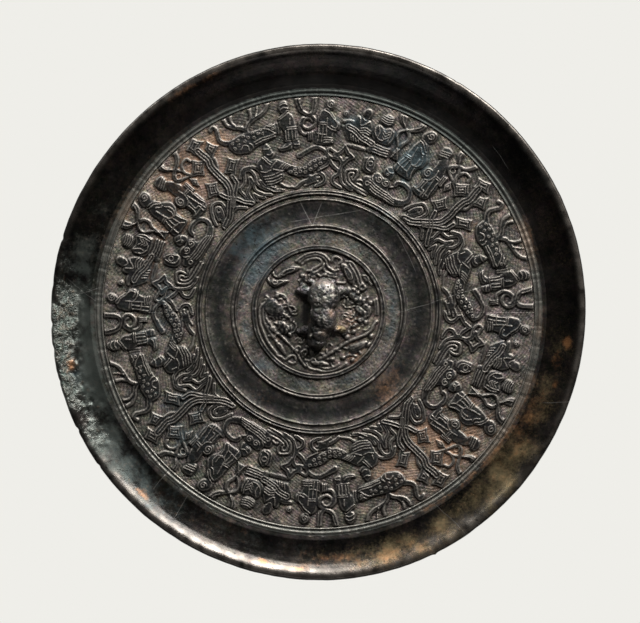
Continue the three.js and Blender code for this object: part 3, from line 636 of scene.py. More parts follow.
def ring_tailed_beast(r):
    """The long beast of the lower row, its tail wound in a ring over its back."""
    r.raise_mass(loop([(17.1, 53.6), (17.2, 56.0), (18.6, 56.5), (19.8, 57.0), (21.2, 56.0), (22.4, 53.8),
                       (22.0, 51.6), (19.6, 50.6), (17.6, 51.6)]))
    r.lay_thread(oval(19.9, 54.3, 0.85, 0.75)[[*range(16), 0]])
    r.lay_thread(curve([(18.9, 56.0), (18.5, 54.2), (19.0, 52.4), (20.8, 51.8)]))
    r.lay_thread(curve([(20.4, 56.2), (21.4, 54.8), (21.6, 53.0)]))
    r.raise_mass(loop([(25.4, 53.2), (25.8, 55.2), (27.4, 56.4), (28.8, 55.6), (30.0, 53.4), (29.6, 51.8),
                       (27.4, 52.0)]))
    r.lay_thread(curve([(26.4, 54.8), (27.6, 54.0), (28.9, 54.4)]))
    r.lay_thread(oval(27.4, 53.2, 0.4, 0.35)[[*range(16), 0]], width=0.4)
    r.raise_mass(loop([(19.2, 49.8), (22.0, 50.6), (23.0, 52.4), (24.8, 52.5), (26.6, 51.8), (28.6, 52.0),
                       (30.4, 50.6), (30.4, 48.6), (33.0, 47.6), (37.6, 47.8), (39.4, 46.8), (36.0, 44.9),
                       (31.0, 44.2), (25.0, 44.4), (20.8, 45.4), (19.2, 47.4)]))
    r.lay_thread(spiral(25.2, 50.4, 1.3, 1.3, 180))
    r.lay_thread(spiral(28.2, 50.1, 1.3, 1.3, 200))
    r.lay_thread(oval(21.3, 47.5, 0.7, 0.6)[[*range(16), 0]])
    r.lay_thread(curve([(22.6, 51.8), (22.2, 50.2), (23.2, 48.9)]))
    for k in range(4):
        r.lay_thread(curve([(21.8 + 0.5 * k, 49.0 - 1.0 * k), (25.6, 47.9 - 0.85 * k), (30.6, 47.4 - 0.8 * k),
                            (34.0 + 0.6 * k, 47.0 - 0.65 * k)]))
    r.raise_strip(curve([(36.0, 46.8), (38.8, 48.2), (39.2, 50.4), (37.6, 52.4), (34.6, 53.1), (32.4, 52.5),
                         (31.8, 51.3)]), 1.7, 1.5)
    r.raise_strip(curve([(28.0, 49.0), (30.0, 49.6), (31.4, 50.3)]), 1.0, 0.7)


def hollow_leaf(places, pinch=0.17):
    """A four-cornered leaf whose sides are drawn in towards its middle."""
    tips = np.array(places, dtype=float)
    waists = (tips + np.roll(tips, -1, axis=0)) / 2
    waists += pinch * (tips.mean(axis=0) - waists)
    return corners(np.stack([tips, waists], axis=1).reshape(-1, 2))


def diamond_tree(r):
    """A trunk of fine strands that sweeps up from the ring and carries nested lozenge leaves."""
    r.lay_strands(curve([(42.6, 43.8), (46.4, 44.9), (50.3, 47.9), (53.6, 51.6), (54.3, 55.0), (53.6, 59.0),
                         (53.3, 62.5), (53.8, 65.0), (53.2, 67.6), (52.9, 69.6)]), (-1.0, 0.0, 1.0))
    r.nest_outlines(hollow_leaf([(51.5, 68.7), (50.3, 72.3), (53.9, 74.5), (55.9, 71.2)]))
    r.nest_outlines(hollow_leaf([(46.1, 64.2), (50.2, 68.5), (53.3, 65.4), (49.9, 61.4)]))
    r.nest_outlines(hollow_leaf([(55.0, 63.8), (54.8, 68.6), (56.6, 70.8), (58.8, 67.1)]))
    r.nest_outlines(hollow_leaf([(45.6, 54.6), (48.4, 59.5), (51.9, 57.2), (49.9, 52.5)]))
    r.nest_outlines(hollow_leaf([(55.5, 57.9), (59.5, 62.0), (62.6, 59.6), (58.6, 55.3)]))
    r.lay_ribbon(curve([(46.8, 65.2), (46.0, 67.2), (46.9, 69.6), (48.8, 70.0), (49.4, 68.6)]), 1.0)
    r.lay_strands(curve([(49.9, 53.0), (51.2, 50.4), (53.8, 48.2), (56.0, 45.8), (58.6, 43.9)]), (-0.5, 0.5))
    r.lay_strands(curve([(50.9, 47.0), (54.6, 50.2), (57.2, 52.6), (57.4, 55.6)]), (-0.5, 0.5))
    r.lay_ribbon(curve([(54.4, 60.2), (55.4, 62.0), (55.6, 64.2)]), 1.0)
    bands = [
        [(40.2, 46.4), (41.8, 49.2), (44.6, 52.0), (47.8, 51.0), (47.8, 48.4), (46.6, 46.4)],
        [(42.6, 46.8), (43.6, 49.0), (45.2, 50.3), (46.2, 49.4), (45.4, 47.4), (43.2, 45.6)],
        [(44.2, 47.2), (44.7, 48.6)],
        [(57.6, 44.6), (57.4, 47.6), (57.0, 50.2), (60.2, 51.6), (61.8, 54.8), (64.0, 54.4), (64.8, 51.8),
         (64.2, 49.4), (65.8, 46.8), (69.4, 44.8), (73.0, 43.9)],
        [(59.3, 44.2), (59.1, 48.0), (61.6, 49.8), (62.7, 52.2), (62.9, 49.8), (62.6, 47.6), (64.6, 45.2),
         (68.0, 43.6)],
        [(60.9, 44.0), (61.0, 46.4), (62.4, 44.9), (64.6, 43.6)],
        [(65.8, 49.6), (66.4, 47.8), (68.0, 46.4), (70.6, 45.8)],
        [(59.4, 53.6), (61.6, 55.7), (63.8, 55.7), (66.0, 54.6), (67.2, 52.6), (67.4, 50.6)],
        [(48.4, 45.4), (51.6, 45.8), (55.0, 43.8)],
    ]
    for band in bands:
        r.lay_ribbon(curve(band), 1.15)


BAND_MOTIFS = [
    robed_listener, zither_player, seated_listener, vase_plant, attendant_with_train,
    attendant_with_curled_sleeve, potted_plant, diamond_tree, prowling_cat, antler_branch, hunter,
    ringed_plant, star_tree, ring_tailed_beast, seated_keeper, spotted_cat,
]


def carve_band(r):
    for set_angle in SET_ANGLES:
        for motif in BAND_MOTIFS:
            r.at = set_angle + rng.uniform(-0.15, 0.15)
            motif(r)
    r.at = 0.0


def ground_hatching(r, mask):
    """Fine slanting lines that fill the ground between the motifs."""
    drift = layered_noise(r.x, r.y, 7.0, 31, 2)
    around, out = r.turn[None, :] / 360.0, r.radius[:, None]
    lines = np.cos(2 * np.pi * (0.9 * out + 196 * around + 1.3 * drift))
    crossing = np.cos(2 * np.pi * (0.45 * out - 262 * around + drift))
    return 0.03 * (lines + 0.6 * crossing) * (1.0 - mask)


# ---------------------------------------------------------------- closed meshes from the relief

def sheet_mesh(name, x, y, top, attributes, wrap=False, floor=TRAY_FLOOR):
    """A closed solid: a carved top, straight sides and a flat underside."""
    rows, cols = top.shape
    grid = np.arange(rows * cols).reshape(rows, cols)
    verts = np.column_stack([x.ravel(), y.ravel(), top.ravel()])
    faces = []
    span = cols if wrap else cols - 1
    j = np.arange(span)
    k = (j + 1) % cols
    quads = np.stack([grid[:-1][:, j], grid[:-1][:, k], grid[1:][:, k], grid[1:][:, j]], -1)
    quads = quads.reshape(-1, 4)[:, ::-1]
    if wrap:
        rims = [grid[0], grid[-1]]
        low_start = len(verts)
        low = [np.column_stack([x[i], y[i], np.full(cols, floor)]) for i in (0, -1)]
        verts = np.vstack([verts] + low)
        inner_low = low_start + np.arange(cols)
        outer_low = inner_low + cols
        n = (np.arange(cols) + 1) % cols
        inner = np.column_stack([rims[0], inner_low, inner_low[n], rims[0][n]])[:, ::-1]
        outer = np.column_stack([rims[1], outer_low, outer_low[n], rims[1][n]])
        under = np.column_stack([inner_low, outer_low, outer_low[n], inner_low[n]])[:, ::-1]
        sides = np.vstack([inner, outer])
        bottom = [under]
    else:
        around = np.concatenate([grid[0], grid[1:, -1], grid[-1, ::-1][1:], grid[::-1, 0][1:-1]])
        low_start = len(verts)
        low = verts[around].copy()
        low[:, 2] = floor
        verts = np.vstack([verts, low])
        low_index = low_start + np.arange(len(around))
        n = (np.arange(len(around)) + 1) % len(around)
        sides = np.column_stack([around, low_index, low_index[n], around[n]])[:, ::-1]
        bottom = [low_index]
    return verts, quads, sides, bottom


def add_mesh(name, verts, face_groups, attributes, material, smooth_sharp=0):
    """A mesh object in metres from corner places in mm; one attribute value for each corner."""
    mesh = bpy.data.meshes.new(name)
    loops = np.concatenate([np.asarray(f).ravel() for f in face_groups])
    totals = np.concatenate([np.full(len(f), np.asarray(f).shape[1]) if np.asarray(f).ndim == 2
                             else np.array([len(f)]) for f in face_groups])
    starts = np.concatenate([[0], np.cumsum(totals)[:-1]])
    mesh.vertices.add(len(verts))
    mesh.vertices.foreach_set("co", (verts * MM).astype(np.float32).ravel())
    mesh.loops.add(len(loops))
    mesh.loops.foreach_set("vertex_index", loops.astype(np.int32))
    mesh.polygons.add(len(totals))
    mesh.polygons.foreach_set("loop_start", starts.astype(np.int32))
    mesh.update(calc_edges=True)
    mesh.validate()
    top_faces = len(face_groups[0])
    smooth = np.zeros(len(mesh.polygons), dtype=bool)
    smooth[:top_faces] = True
    mesh.polygons.foreach_set("use_smooth", smooth)
    for key, values in attributes.items():
        padded = np.zeros(len(verts), dtype=np.float32)
        padded[:values.size] = values.ravel()
        layer = mesh.attributes.new(key, "FLOAT", "POINT")
        layer.data.foreach_set("value", padded)
    plan = mesh.uv_layers.new(name="OFBake")
    corner = np.empty(len(mesh.loops), dtype=np.int32)
    mesh.loops.foreach_get("vertex_index", corner)
    place = verts[corner][:, :2]
    low, high = verts[:, :2].min(axis=0), verts[:, :2].max(axis=0)
    uv = 0.01 + 0.98 * (place - low) / (high - low).max()
    plan.data.foreach_set("uv", uv.astype(np.float32).ravel())
    mesh.materials.append(material)
    piece = bpy.data.objects.new(name, mesh)
    bpy.context.scene.collection.objects.link(piece)
    return piece


# ---------------------------------------------------------------- the small field of dragons

def plane(points):
    """Places given as (x, y) in mm, turned into clock angles and radii."""
    p = np.array(points, dtype=float)
    return np.column_stack([np.degrees(np.arctan2(p[:, 0], p[:, 1])), np.hypot(p[:, 0], p[:, 1])])


def flat_curve(points, steps=7):
    return plane(curve(points, steps))


def flat_loop(points, steps=6):
    return plane(loop(points, steps))


DRAGON_BODIES = [
    [(-14.6, 12.0), (-12.9, 14.2), (-10.8, 15.5), (-8.2, 16.1), (-6.3, 15.4), (-8.2, 13.8), (-10.9, 13.0),
     (-13.0, 11.6)],
    [(-17.4, 10.6), (-16.6, 9.0), (-14.8, 8.4), (-12.6, 9.2), (-10.4, 10.8), (-12.6, 11.4), (-14.4, 11.0),
     (-15.6, 11.6)],
    [(7.7, 16.6), (8.2, 14.2), (9.6, 11.6), (10.9, 9.9), (12.6, 9.8), (12.5, 12.2), (11.1, 14.6), (9.3, 16.8)],
    [(10.2, 8.2), (12.2, 7.0), (14.0, 5.6), (15.6, 3.9), (15.2, 2.4), (13.2, 2.4), (11.6, 4.0), (9.8, 6.2)],
    [(-18.2, 3.2), (-16.0, 4.2), (-14.4, 3.6), (-13.0, 1.6), (-12.8, -0.8), (-14.8, -1.4), (-17.0, -1.0),
     (-18.6, 0.8)],
    [(-13.9, -3.2), (-11.6, -3.4), (-9.9, -5.2), (-10.2, -7.2), (-12.2, -7.2), (-13.8, -5.6)],
    [(-14.7, -9.6), (-13.1, -10.8), (-11.7, -12.9), (-11.1, -14.6), (-11.9, -15.0), (-13.6, -13.2),
     (-14.9, -11.2)],
    [(10.6, -12.7), (11.5, -11.4), (14.7, -10.4), (16.2, -10.4), (15.6, -12.2), (13.6, -13.4), (11.8, -13.8)],
    [(-2.6, -17.2), (-0.1, -16.8), (2.4, -17.2), (3.6, -18.4), (1.0, -18.8), (-1.8, -18.4)],
]

DRAGON_LINES = [
    [(-7.6, 17.6), (-5.7, 19.2), (-3.2, 20.3), (-0.8, 20.6), (1.8, 19.8), (3.4, 18.3), (3.9, 17.6)],
    [(-6.8, 17.2), (-4.9, 18.7), (-2.6, 19.5), (-0.4, 19.6), (1.5, 18.8), (2.5, 17.8), (2.8, 16.6),
     (3.5, 15.3), (5.1, 14.3), (6.7, 14.7)],
    [(-5.8, 16.7), (-3.9, 18.0), (-2.0, 18.5), (-0.1, 18.4), (0.9, 17.4), (0.6, 16.5), (-0.7, 15.6),
     (-2.0, 15.0)],
    [(1.9, 16.6), (1.5, 15.3), (2.5, 14.0), (4.4, 13.2), (6.0, 13.2)],
    [(-3.3, 12.7), (-0.7, 13.1), (0.6, 12.4), (1.9, 13.1), (3.5, 12.4), (6.0, 12.1)],
    [(0.9, 11.3), (3.5, 11.4), (5.7, 10.3), (8.9, 10.0)],
    [(-6.8, 10.8), (-5.8, 11.6), (-4.5, 10.6)],
    [(-3.9, 14.2), (-2.4, 14.4), (-1.0, 15.2)],
    [(-2.6, 13.6), (-0.4, 14.2), (1.4, 15.4)],
    [(4.7, 17.5), (5.1, 18.8), (6.3, 19.1), (7.9, 17.9), (7.0, 16.6)],
    [(9.5, 17.5), (11.4, 17.2), (12.4, 16.0), (13.4, 14.3), (14.3, 12.1), (14.7, 10.5), (15.9, 9.2)],
    [(10.6, 16.4), (12.0, 14.3), (13.1, 12.1), (13.7, 10.2), (14.4, 8.6)],
    [(15.2, 12.6), (16.6, 12.4), (17.4, 11.2), (16.4, 10.9)],
    [(15.6, 11.8), (17.2, 10.8), (18.2, 9.4)],
    [(19.9, 4.4), (20.5, 1.9), (20.5, -0.9)],
    [(19.1, 4.0), (19.7, 1.8), (19.7, -0.9)],
    [(10.8, -12.9), (11.5, -11.6), (14.7, -10.6), (16.4, -10.4)],
    [(10.8, -13.2), (11.8, -14.1), (13.7, -13.5), (14.5, -14.4)],
    [(9.4, -15.2), (11.1, -14.8), (12.9, -15.2)],
    [(11.9, -12.6), (13.6, -12.2), (15.2, -11.6)],
    [(-0.7, -20.0), (1.9, -20.6), (5.1, -20.3), (7.6, -19.1), (9.5, -17.8)],
    [(-0.1, -18.9), (2.5, -19.5), (5.1, -19.1), (7.0, -17.9)],
    [(-4.2, -18.0), (-3.3, -19.4), (-1.3, -20.0)],
    [(-19.6, 2.6), (-20.4, 0.4), (-20.2, -3.3), (-19.5, -5.8), (-18.2, -9.0), (-16.6, -11.8),
     (-14.4, -14.6)],
    [(-18.9, 2.4), (-19.3, -0.4), (-18.9, -2.8), (-18.0, -5.2), (-16.7, -7.4), (-15.4, -9.4)],
    [(-18.3, 0.0), (-18.0, -2.3), (-16.7, -4.5), (-14.9, -6.4), (-13.2, -7.6)],
    [(-19.4, 2.4), (-18.0, 3.7), (-16.1, 4.3), (-14.8, 4.0)],
    [(-18.6, 1.7), (-17.6, 2.9), (-15.7, 3.0), (-14.8, 2.4)],
    [(-14.5, 6.7), (-12.9, 5.7), (-11.3, 4.7)],
    [(-13.2, 6.2), (-11.9, 5.6), (-10.9, 4.4), (-10.6, 2.5), (-10.0, 0.6), (-9.0, -0.7), (-8.0, -0.9)],
    [(-9.9, 1.9), (-8.6, 1.6), (-7.9, 0.5), (-9.2, 0.1)],
    [(-18.0, 5.6), (-17.3, 4.6), (-18.3, 4.4)],
    [(-13.5, 2.5), (-12.7, 1.2), (-13.0, -0.7)],
    [(-16.6, -1.6), (-14.4, -1.4), (-12.4, -0.6), (-10.2, -1.8)],
    [(-16.2, -0.8), (-15.4, -2.6)],
    [(-15.1, -0.6), (-14.4, -2.4)],
    [(-14.1, -0.4), (-13.4, -2.2)],
    [(-13.2, 0.0), (-12.4, -1.6)],
    [(-13.2, -6.8), (-11.6, -7.5), (-10.7, -7.1)],
    [(-14.5, -15.0), (-12.9, -15.5), (-11.6, -16.5), (-9.7, -15.2), (-8.4, -15.2), (-7.7, -16.6)],
    [(-10.3, -17.2), (-9.0, -17.9), (-8.0, -17.4)],
    [(-17.3, -8.3), (-15.9, -8.6), (-14.9, -10.2)],
]

DRAGON_RIDGES = [
    ([(-16.4, -5.6), (-14.1, -7.4), (-11.6, -9.7), (-9.3, -11.9), (-7.7, -14.1), (-6.0, -16.9),
      (-4.7, -18.8)], 1.1, 0.8),
    ([(0.2, -16.2), (3.5, -14.5), (6.7, -12.5), (9.5, -10.6), (13.1, -9.0), (15.6, -8.1), (17.9, -6.5),
      (18.9, -4.7), (20.0, -3.4)], 1.2, 0.9),
    ([(15.1, 9.7), (16.2, 8.6), (15.2, 7.6), (14.1, 8.5), (15.0, 9.7)], 0.8, 0.8),
    ([(-16.1, 14.0), (-15.4, 12.7), (-14.5, 12.1)], 0.8, 0.7),
    ([(-16.9, 13.4), (-17.7, 12.1), (-17.3, 10.8)], 0.8, 0.7),
    ([(13.6, 1.2), (15.6, -0.6), (15.9, -2.0), (14.2, -3.0)], 1.8, 1.2),
    ([(16.0, 2.0), (17.6, 0.6), (17.0, -1.2)], 1.6, 1.1),
]

DRAGON_KNOTS = [
    (10.4, 7.9), (12.0, 7.6), (13.6, 6.6), (14.4, 4.6), (12.9, 3.9), (15.6, 3.6), (17.4, 1.4), (16.0, -0.4),
    (11.9, -6.9), (9.8, -8.8), (14.2, -2.8), (-16.7, 1.4), (11.6, -16.6), (18.2, -8.4), (17.2, -11.4),
    (8.4, -15.8), (-0.2, -17.7), (2.0, -18.0), (-10.0, -7.9), (-11.7, -7.0), (-5.6, 12.6), (4.6, -16.4),
    (16.2, -3.6), (17.9, 3.2), (-12.6, -4.0), (-11.2, -1.4), (-14.4, 5.6), (12.4, -4.6), (-1.8, 12.2),
    (2.2, 12.9), (-7.6, -13.4),
]


# Where the dragon relief is crowded and worn rough: (clock, radius, around, along, strength)
ROUGH_FIELD = [(75, 14, 26, 4.5, 1.0), (110, 12, 16, 4, 0.8), (245, 14, 26, 4.5, 0.9), (290, 13, 16, 4, 0.6),
               (345, 14, 22, 4, 0.7), (30, 15, 14, 4, 0.5), (160, 15, 20, 3.5, 0.7), (200, 15, 16, 4, 0.5)]


def carve_dragons(r):
    for body in DRAGON_BODIES:
        r.raise_mass(flat_loop(body), height=0.62, flank=0.4, crown=0.25)
    for body in DRAGON_BODIES[:3]:
        edge = np.array(body)
        r.lay_thread(flat_loop(edge.mean(axis=0) + 0.55 * (edge - edge.mean(axis=0))), width=0.5)
    for route, width, end_width in DRAGON_RIDGES:
        r.raise_strip(flat_curve(route), width, end_width, height=0.6, flank=0.3)
    for route in DRAGON_LINES:
        r.lay_ribbon(flat_curve(route), width=0.8, height=0.5)
    for x, y in DRAGON_KNOTS:
        spot = plane([(x, y)])[0]
        r.raise_mass(oval(spot[0], spot[1], 0.95, 0.8), height=0.7, crown=0.3)
    for _ in range(170):
        a, d = rng.uniform(0.0, 360.0), rng.uniform(8.5, 20.2)
        spot = np.array([[d * math.sin(math.radians(a)), d * math.cos(math.radians(a))]])
        if patches(spot[:, 0], spot[:, 1], ROUGH_FIELD)[0] < 0.3:
            continue
        turn, bend = rng.uniform(0.0, 2.0 * math.pi), rng.choice([-1.0, 1.0]) * rng.uniform(0.5, 1.1)
        steps = [turn + bend * k for k in range(4)]
        route = [spot[0] + 0.9 * sum(np.array([math.sin(t), math.cos(t)]) for t in steps[:k]) for k in range(4)]
        r.lay_ribbon(flat_curve(route), width=rng.uniform(0.45, 0.75), height=rng.uniform(0.25, 0.5))
    r.lay_thread(flat_curve([(-15.1, 10.9), (-16.1, 10.6), (-15.6, 9.7), (-14.4, 9.9), (-14.3, 10.9)]),
                 width=0.5, height=0.3)


# ---------------------------------------------------------------- stains, wear and corrosion, with painted shade and painted highlights

def patches(x, y, spots):
    """Soft patches: each is (clock angle, radius, reach around, reach along the radius, strength)."""
    total = np.zeros_like(x)
    turn = np.degrees(np.arctan2(x, y))
    radius = np.hypot(x, y)
    for angle, middle, around, along, strength in spots:
        off = (turn - angle + 180.0) % 360.0 - 180.0
        total += strength * np.exp(-(off / around) ** 2 - ((radius - middle) / along) ** 2)
    return total


COPPER_PATCHES = [
    (312, 62, 22, 13, 0.6), (100, 76.5, 26, 1.8, 0.45), (132, 62, 20, 13, 0.7), (330, 66, 14, 8, 0.4),
    (118, 84, 16, 6, 0.3), (72, 76, 10, 3, 0.4), (150, 60, 14, 11, 0.55), (280, 60, 12, 8, 0.25),
    (135, 35, 22, 4, 1.3), (215, 35, 12, 3, 0.5), (290, 84, 8, 5, 0.25),
    (295, 76, 16, 3, 0.3), (60, 62, 8, 8, 0.25),
    (205, 60, 14, 10, 0.2), (352, 50, 8, 6, 0.3), (112, 12, 30, 4, 0.5), (136, 20, 18, 5, 0.5),
    (194, 89.0, 5, 1.4, 0.4), (204, 89.6, 3, 1.0, 0.4), (181, 87.4, 4, 1.4, 0.35), (250, 18, 20, 4, 0.4),
    (154, 87, 20, 6, 0.35), (330, 90, 10, 1.2, 0.5), (15, 25.9, 8, 2.4, 0.5),
]
TEAL_PATCHES = [
    (32, 62, 13, 12, 0.6), (272, 56, 16, 10, 0.45), (228, 60, 18, 12, 0.45), (262, 88, 12, 5, 0.4),
    (318, 34, 16, 5, 1.0), (312, 26, 18, 4, 0.45), (96, 66, 8, 8, 0.4), (222, 27, 12, 4, 0.3),
    (35, 40, 8, 6, 0.3), (190, 54, 10, 8, 0.25), (330, 19, 16, 3, 0.4), (228, 84, 16, 7, 0.45),
    (8, 68, 8, 5, 0.4), (300, 35, 8, 4, 0.4), (0, 25.9, 400, 3, 0.5), (180, 12, 400, 7, 0.12),
    (255, 86.5, 1.2, 1.4, 1.2),
]
RUST_PATCHES = [
    (97, 86.9, 1.2, 1.5, 0.9), (102, 84.2, 1.6, 1.8, 0.9), (107, 86.0, 0.9, 1.0, 0.7), (258, 87.2, 1.5, 1.6, 0.8),
    (193.4, 88.2, 2.2, 1.1, 0.55), (186.5, 89.0, 3.4, 0.8, 0.5), (224.4, 87.7, 2.6, 1.5, 0.4), (160, 88, 14, 3, 0.25), (176, 85, 5, 1.5, 0.3),
    (118, 82, 8, 3, 0.3), (140, 77.5, 24, 1.2, 0.3), (135, 64, 18, 9, 0.16), (312, 64, 18, 9, 0.14),
    (140, 35, 16, 3, 0.22), (331, 90, 8, 1.2, 0.4), (215, 82, 30, 5, 0.12),
]
CORROSION_PATCHES = [
    (267, 88, 9, 4.5, 1.2), (252, 90, 8, 3, 0.6), (280, 90, 5, 3, 0.4), (276, 80, 4, 4, 0.3),
    (244, 87, 8, 5, 0.3),
]
GOLD_PATCHES = [(143, 86, 18, 6, 0.62), (126, 84, 12, 7, 0.45), (160, 88, 12, 4, 0.5), (60, 7, 70, 5, 0.35),
                (104, 84, 14, 6, 0.35), (172, 84, 14, 4, 0.3), (70, 86, 16, 4, 0.2)]
# Painted highlight on the lip, where the lamps reflect off it
PAINTED_LIP_HIGHLIGHT = [(206, 90.4, 24, 2.2, 1.1), (238, 89.5, 12, 3.0, 0.3), (156, 89.5, 24, 3.0, 1.1), (20, 91.4, 60, 1.0, 1.0),
              (95, 91.3, 40, 1.0, 0.7), (330, 91.3, 30, 1.0, 0.7)]
# Deep pits in the corroded lip: (clock, radius, reach around, reach along the radius, depth)
CRUST_PITS = [(269.3, 86.0, 1.1, 1.3, 1.0), (264.2, 85.8, 1.0, 0.7, 0.7), (259.2, 85.0, 0.8, 0.8, 0.8),
              (266.4, 87.6, 0.5, 0.6, 0.6), (253.0, 85.6, 0.6, 0.5, 0.6), (248.6, 84.2, 0.5, 0.5, 0.6),
              (271.6, 87.9, 1.1, 0.6, -0.5), (261.8, 86.6, 0.6, 0.6, 0.5)]
# Small chips out of the edge, or burrs on it: (clock, depth in mm, reach in degrees)
EDGE_NICKS = [(286, 0.4, 0.5), (267.4, 0.5, 0.7), (262, 0.35, 1.0), (255, 0.3, 0.5), (244, 0.45, 0.5), (235, 0.3, 0.4),
              (154.3, -0.4, 0.4), (31, 0.2, 0.4), (276, 0.3, 1.2)]
GREY_PATCHES = [(292, 86, 12, 6, 0.28), (232, 81.5, 60, 4.5, 0.38), (262, 82, 26, 5, 0.7), (236, 88, 16, 4, 0.6), (60, 90, 12, 2, 0.3)]


def finish_maps(x, y, height, raised, finest=3, broad=8):
    """Values from 0 to 1 that the finish reads at each corner of the mesh; the hollow value is painted shade and the
    crest value is painted highlight.
    """
    mottle = layered_noise(x, y, 6.0, 90)
    fine = layered_noise(x, y, 1.7, 120, 2)
    near, wide = soften(height, finest), soften(height, broad)
    return {
        # painted shade: darker where the surface lies below its softened surroundings, in recesses and at the feet of
        # raised work
        "hollow": np.clip((near - height) / 0.09, 0.0, 1.0) * 0.6 + np.clip((wide - height) / 0.2, 0.0, 1.0) * 0.6,
        # painted highlight: lighter where the surface stands above its surroundings, on ridges and edges
        "crest": np.clip((height - near) / 0.055 - 0.15, 0.0, 1.0),
        "raised": np.clip(raised, 0.0, 1.0),
        "copper": np.clip(patches(x, y, COPPER_PATCHES) * (0.75 + 0.9 * mottle) + 0.1 * fine, 0.0, 1.0),
        "teal": np.clip(patches(x, y, TEAL_PATCHES) * (0.75 + 0.9 * mottle), 0.0, 1.0),
        "corroded": np.clip(patches(x, y, CORROSION_PATCHES) * (0.9 + 0.9 * mottle), 0.0, 1.0),
        "rusty": np.clip(patches(x, y, RUST_PATCHES) * (0.8 + 0.8 * mottle), 0.0, 1.0),
        "gold": np.clip(patches(x, y, GOLD_PATCHES) * (0.8 + 0.8 * mottle), 0.0, 1.0),
        "greyed": np.clip(patches(x, y, GREY_PATCHES) * (0.8 + 1.1 * mottle), 0.0, 1.0),
    }


# ---------------------------------------------------------------- pieces of the casting

def finish_piece(piece):
    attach(piece, ROOT_BODY)
    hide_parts(CAST_NODE)
    return piece


def build_band(material):
    """The figured band, in four equal sheets."""
    r = Relief(BAND_INNER, BAND_OUTER, 1840, 158)
    carve_band(r)
    edge = smoothstep((r.radius - BAND_INNER) / 0.5) * smoothstep((BAND_OUTER - r.radius) / 0.5)
    edge = edge[:, None]
    wear = 1.0 + 0.22 * layered_noise(r.x, r.y, 14.0, 55)
    mass = soften(r.mass, 1)
    covered = np.clip(mass / 0.3, 0.0, 1.0)
    height = GROUND + edge * (mass * wear + r.thread * wear - r.groove)
    height += edge * ground_hatching(r, covered)
    height += edge * 0.065 * layered_noise(r.x, r.y, 1.3, 77, 2)
    height += edge * 0.028 * value_noise(r.x, r.y, 0.55, 79)
    lump = np.clip((mass - 0.14) / 0.18, 0.0, 1.0)
    maps = finish_maps(r.x, r.y, height, lump)
    quarter = r.columns // 4
    for number in range(4):
        cols = np.arange(number * quarter, (number + 1) * quarter + 1) % r.columns
        x, y, top = r.x[:, cols], r.y[:, cols], height[:, cols]
        swell = 1.0 + rim_swell(x, y) / np.hypot(x, y)
        verts, quads, sides, bottom = sheet_mesh("", x * swell, y * swell, top, None)
        values = {key: value[:, cols] for key, value in maps.items()}
        groups = [quads, sides] + [np.array(b) for b in bottom]
        finish_piece(add_mesh(f"figured_band_{number + 1}", verts, groups, values, material))


def build_middle(material):
    """The two outer small rings, the grainy plain zone and the dished channel."""
    columns = 560
    radius = np.concatenate([
        np.arange(FIELD_EDGE, 24.0, 0.155), np.arange(24.0, 28.0, 0.28), np.arange(28.0, 32.0, 0.155),
        np.arange(32.0, 38.0, 0.5), np.arange(38.0, BAND_INNER - 0.05, 0.155), [BAND_INNER]])
    turn = np.radians(np.arange(columns) * 360.0 / columns)[None, :]
    x = radius[:, None] * np.sin(turn)
    y = radius[:, None] * np.cos(turn)
    edge = smoothstep((radius - FIELD_EDGE) / 0.3) * smoothstep((BAND_INNER - radius) / 0.3)
    edge = edge[:, None]
    base = turned_height(radius)[:, None] + 0.0 * x
    grainy = np.clip(1.0 - np.abs(radius - 25.9) / 2.6, 0.0, 1.0)[:, None] ** 0.4
    ring = np.clip((base - 2.35) / 0.4, 0.0, 1.0)
    ring[(radius > 32.5) & (radius < 37.5)] = 0.0
    worn = 0.05 * layered_noise(x, y, 7.0, 201) + 0.05 * value_noise(x, y, 0.85, 207)
    worn = worn + ring * (0.2 * layered_noise(x, y, 1.7, 211, 2) - 0.25 * np.clip(value_noise(x, y, 3.1, 215) - 0.45, 0, 1))
    height = base + edge * (worn + grainy * 0.09 * value_noise(x, y, 0.6, 203))
    height[0], height[-1] = FIELD, GROUND
    channel = np.clip(1.0 - np.abs(radius - 35.2) / 4.4, 0.0, 1.0)[:, None] ** 0.3 + 0.0 * x
    maps = finish_maps(x, y, height, np.maximum(0.95 * ring, channel), 2, 6)
    # painted highlight on the ring edges, made patchy by noise
    maps["crest"] = np.clip(maps["crest"] * (0.75 + 1.2 * layered_noise(x, y, 3.4, 219, 2)), 0.0, 1.0)
    # the hollow value, painted shade, is raised over the grainy zone, which darkens that zone
    maps["hollow"] = np.clip(maps["hollow"] + 0.16 * grainy + 0.1 * grainy * value_noise(x, y, 1.6, 221), 0.0, 1.0)
    verts, quads, sides, bottom = sheet_mesh("", x, y, height, None, wrap=True)
    finish_piece(add_mesh("rings_and_channel", verts, [quads, sides, *bottom], maps, material))


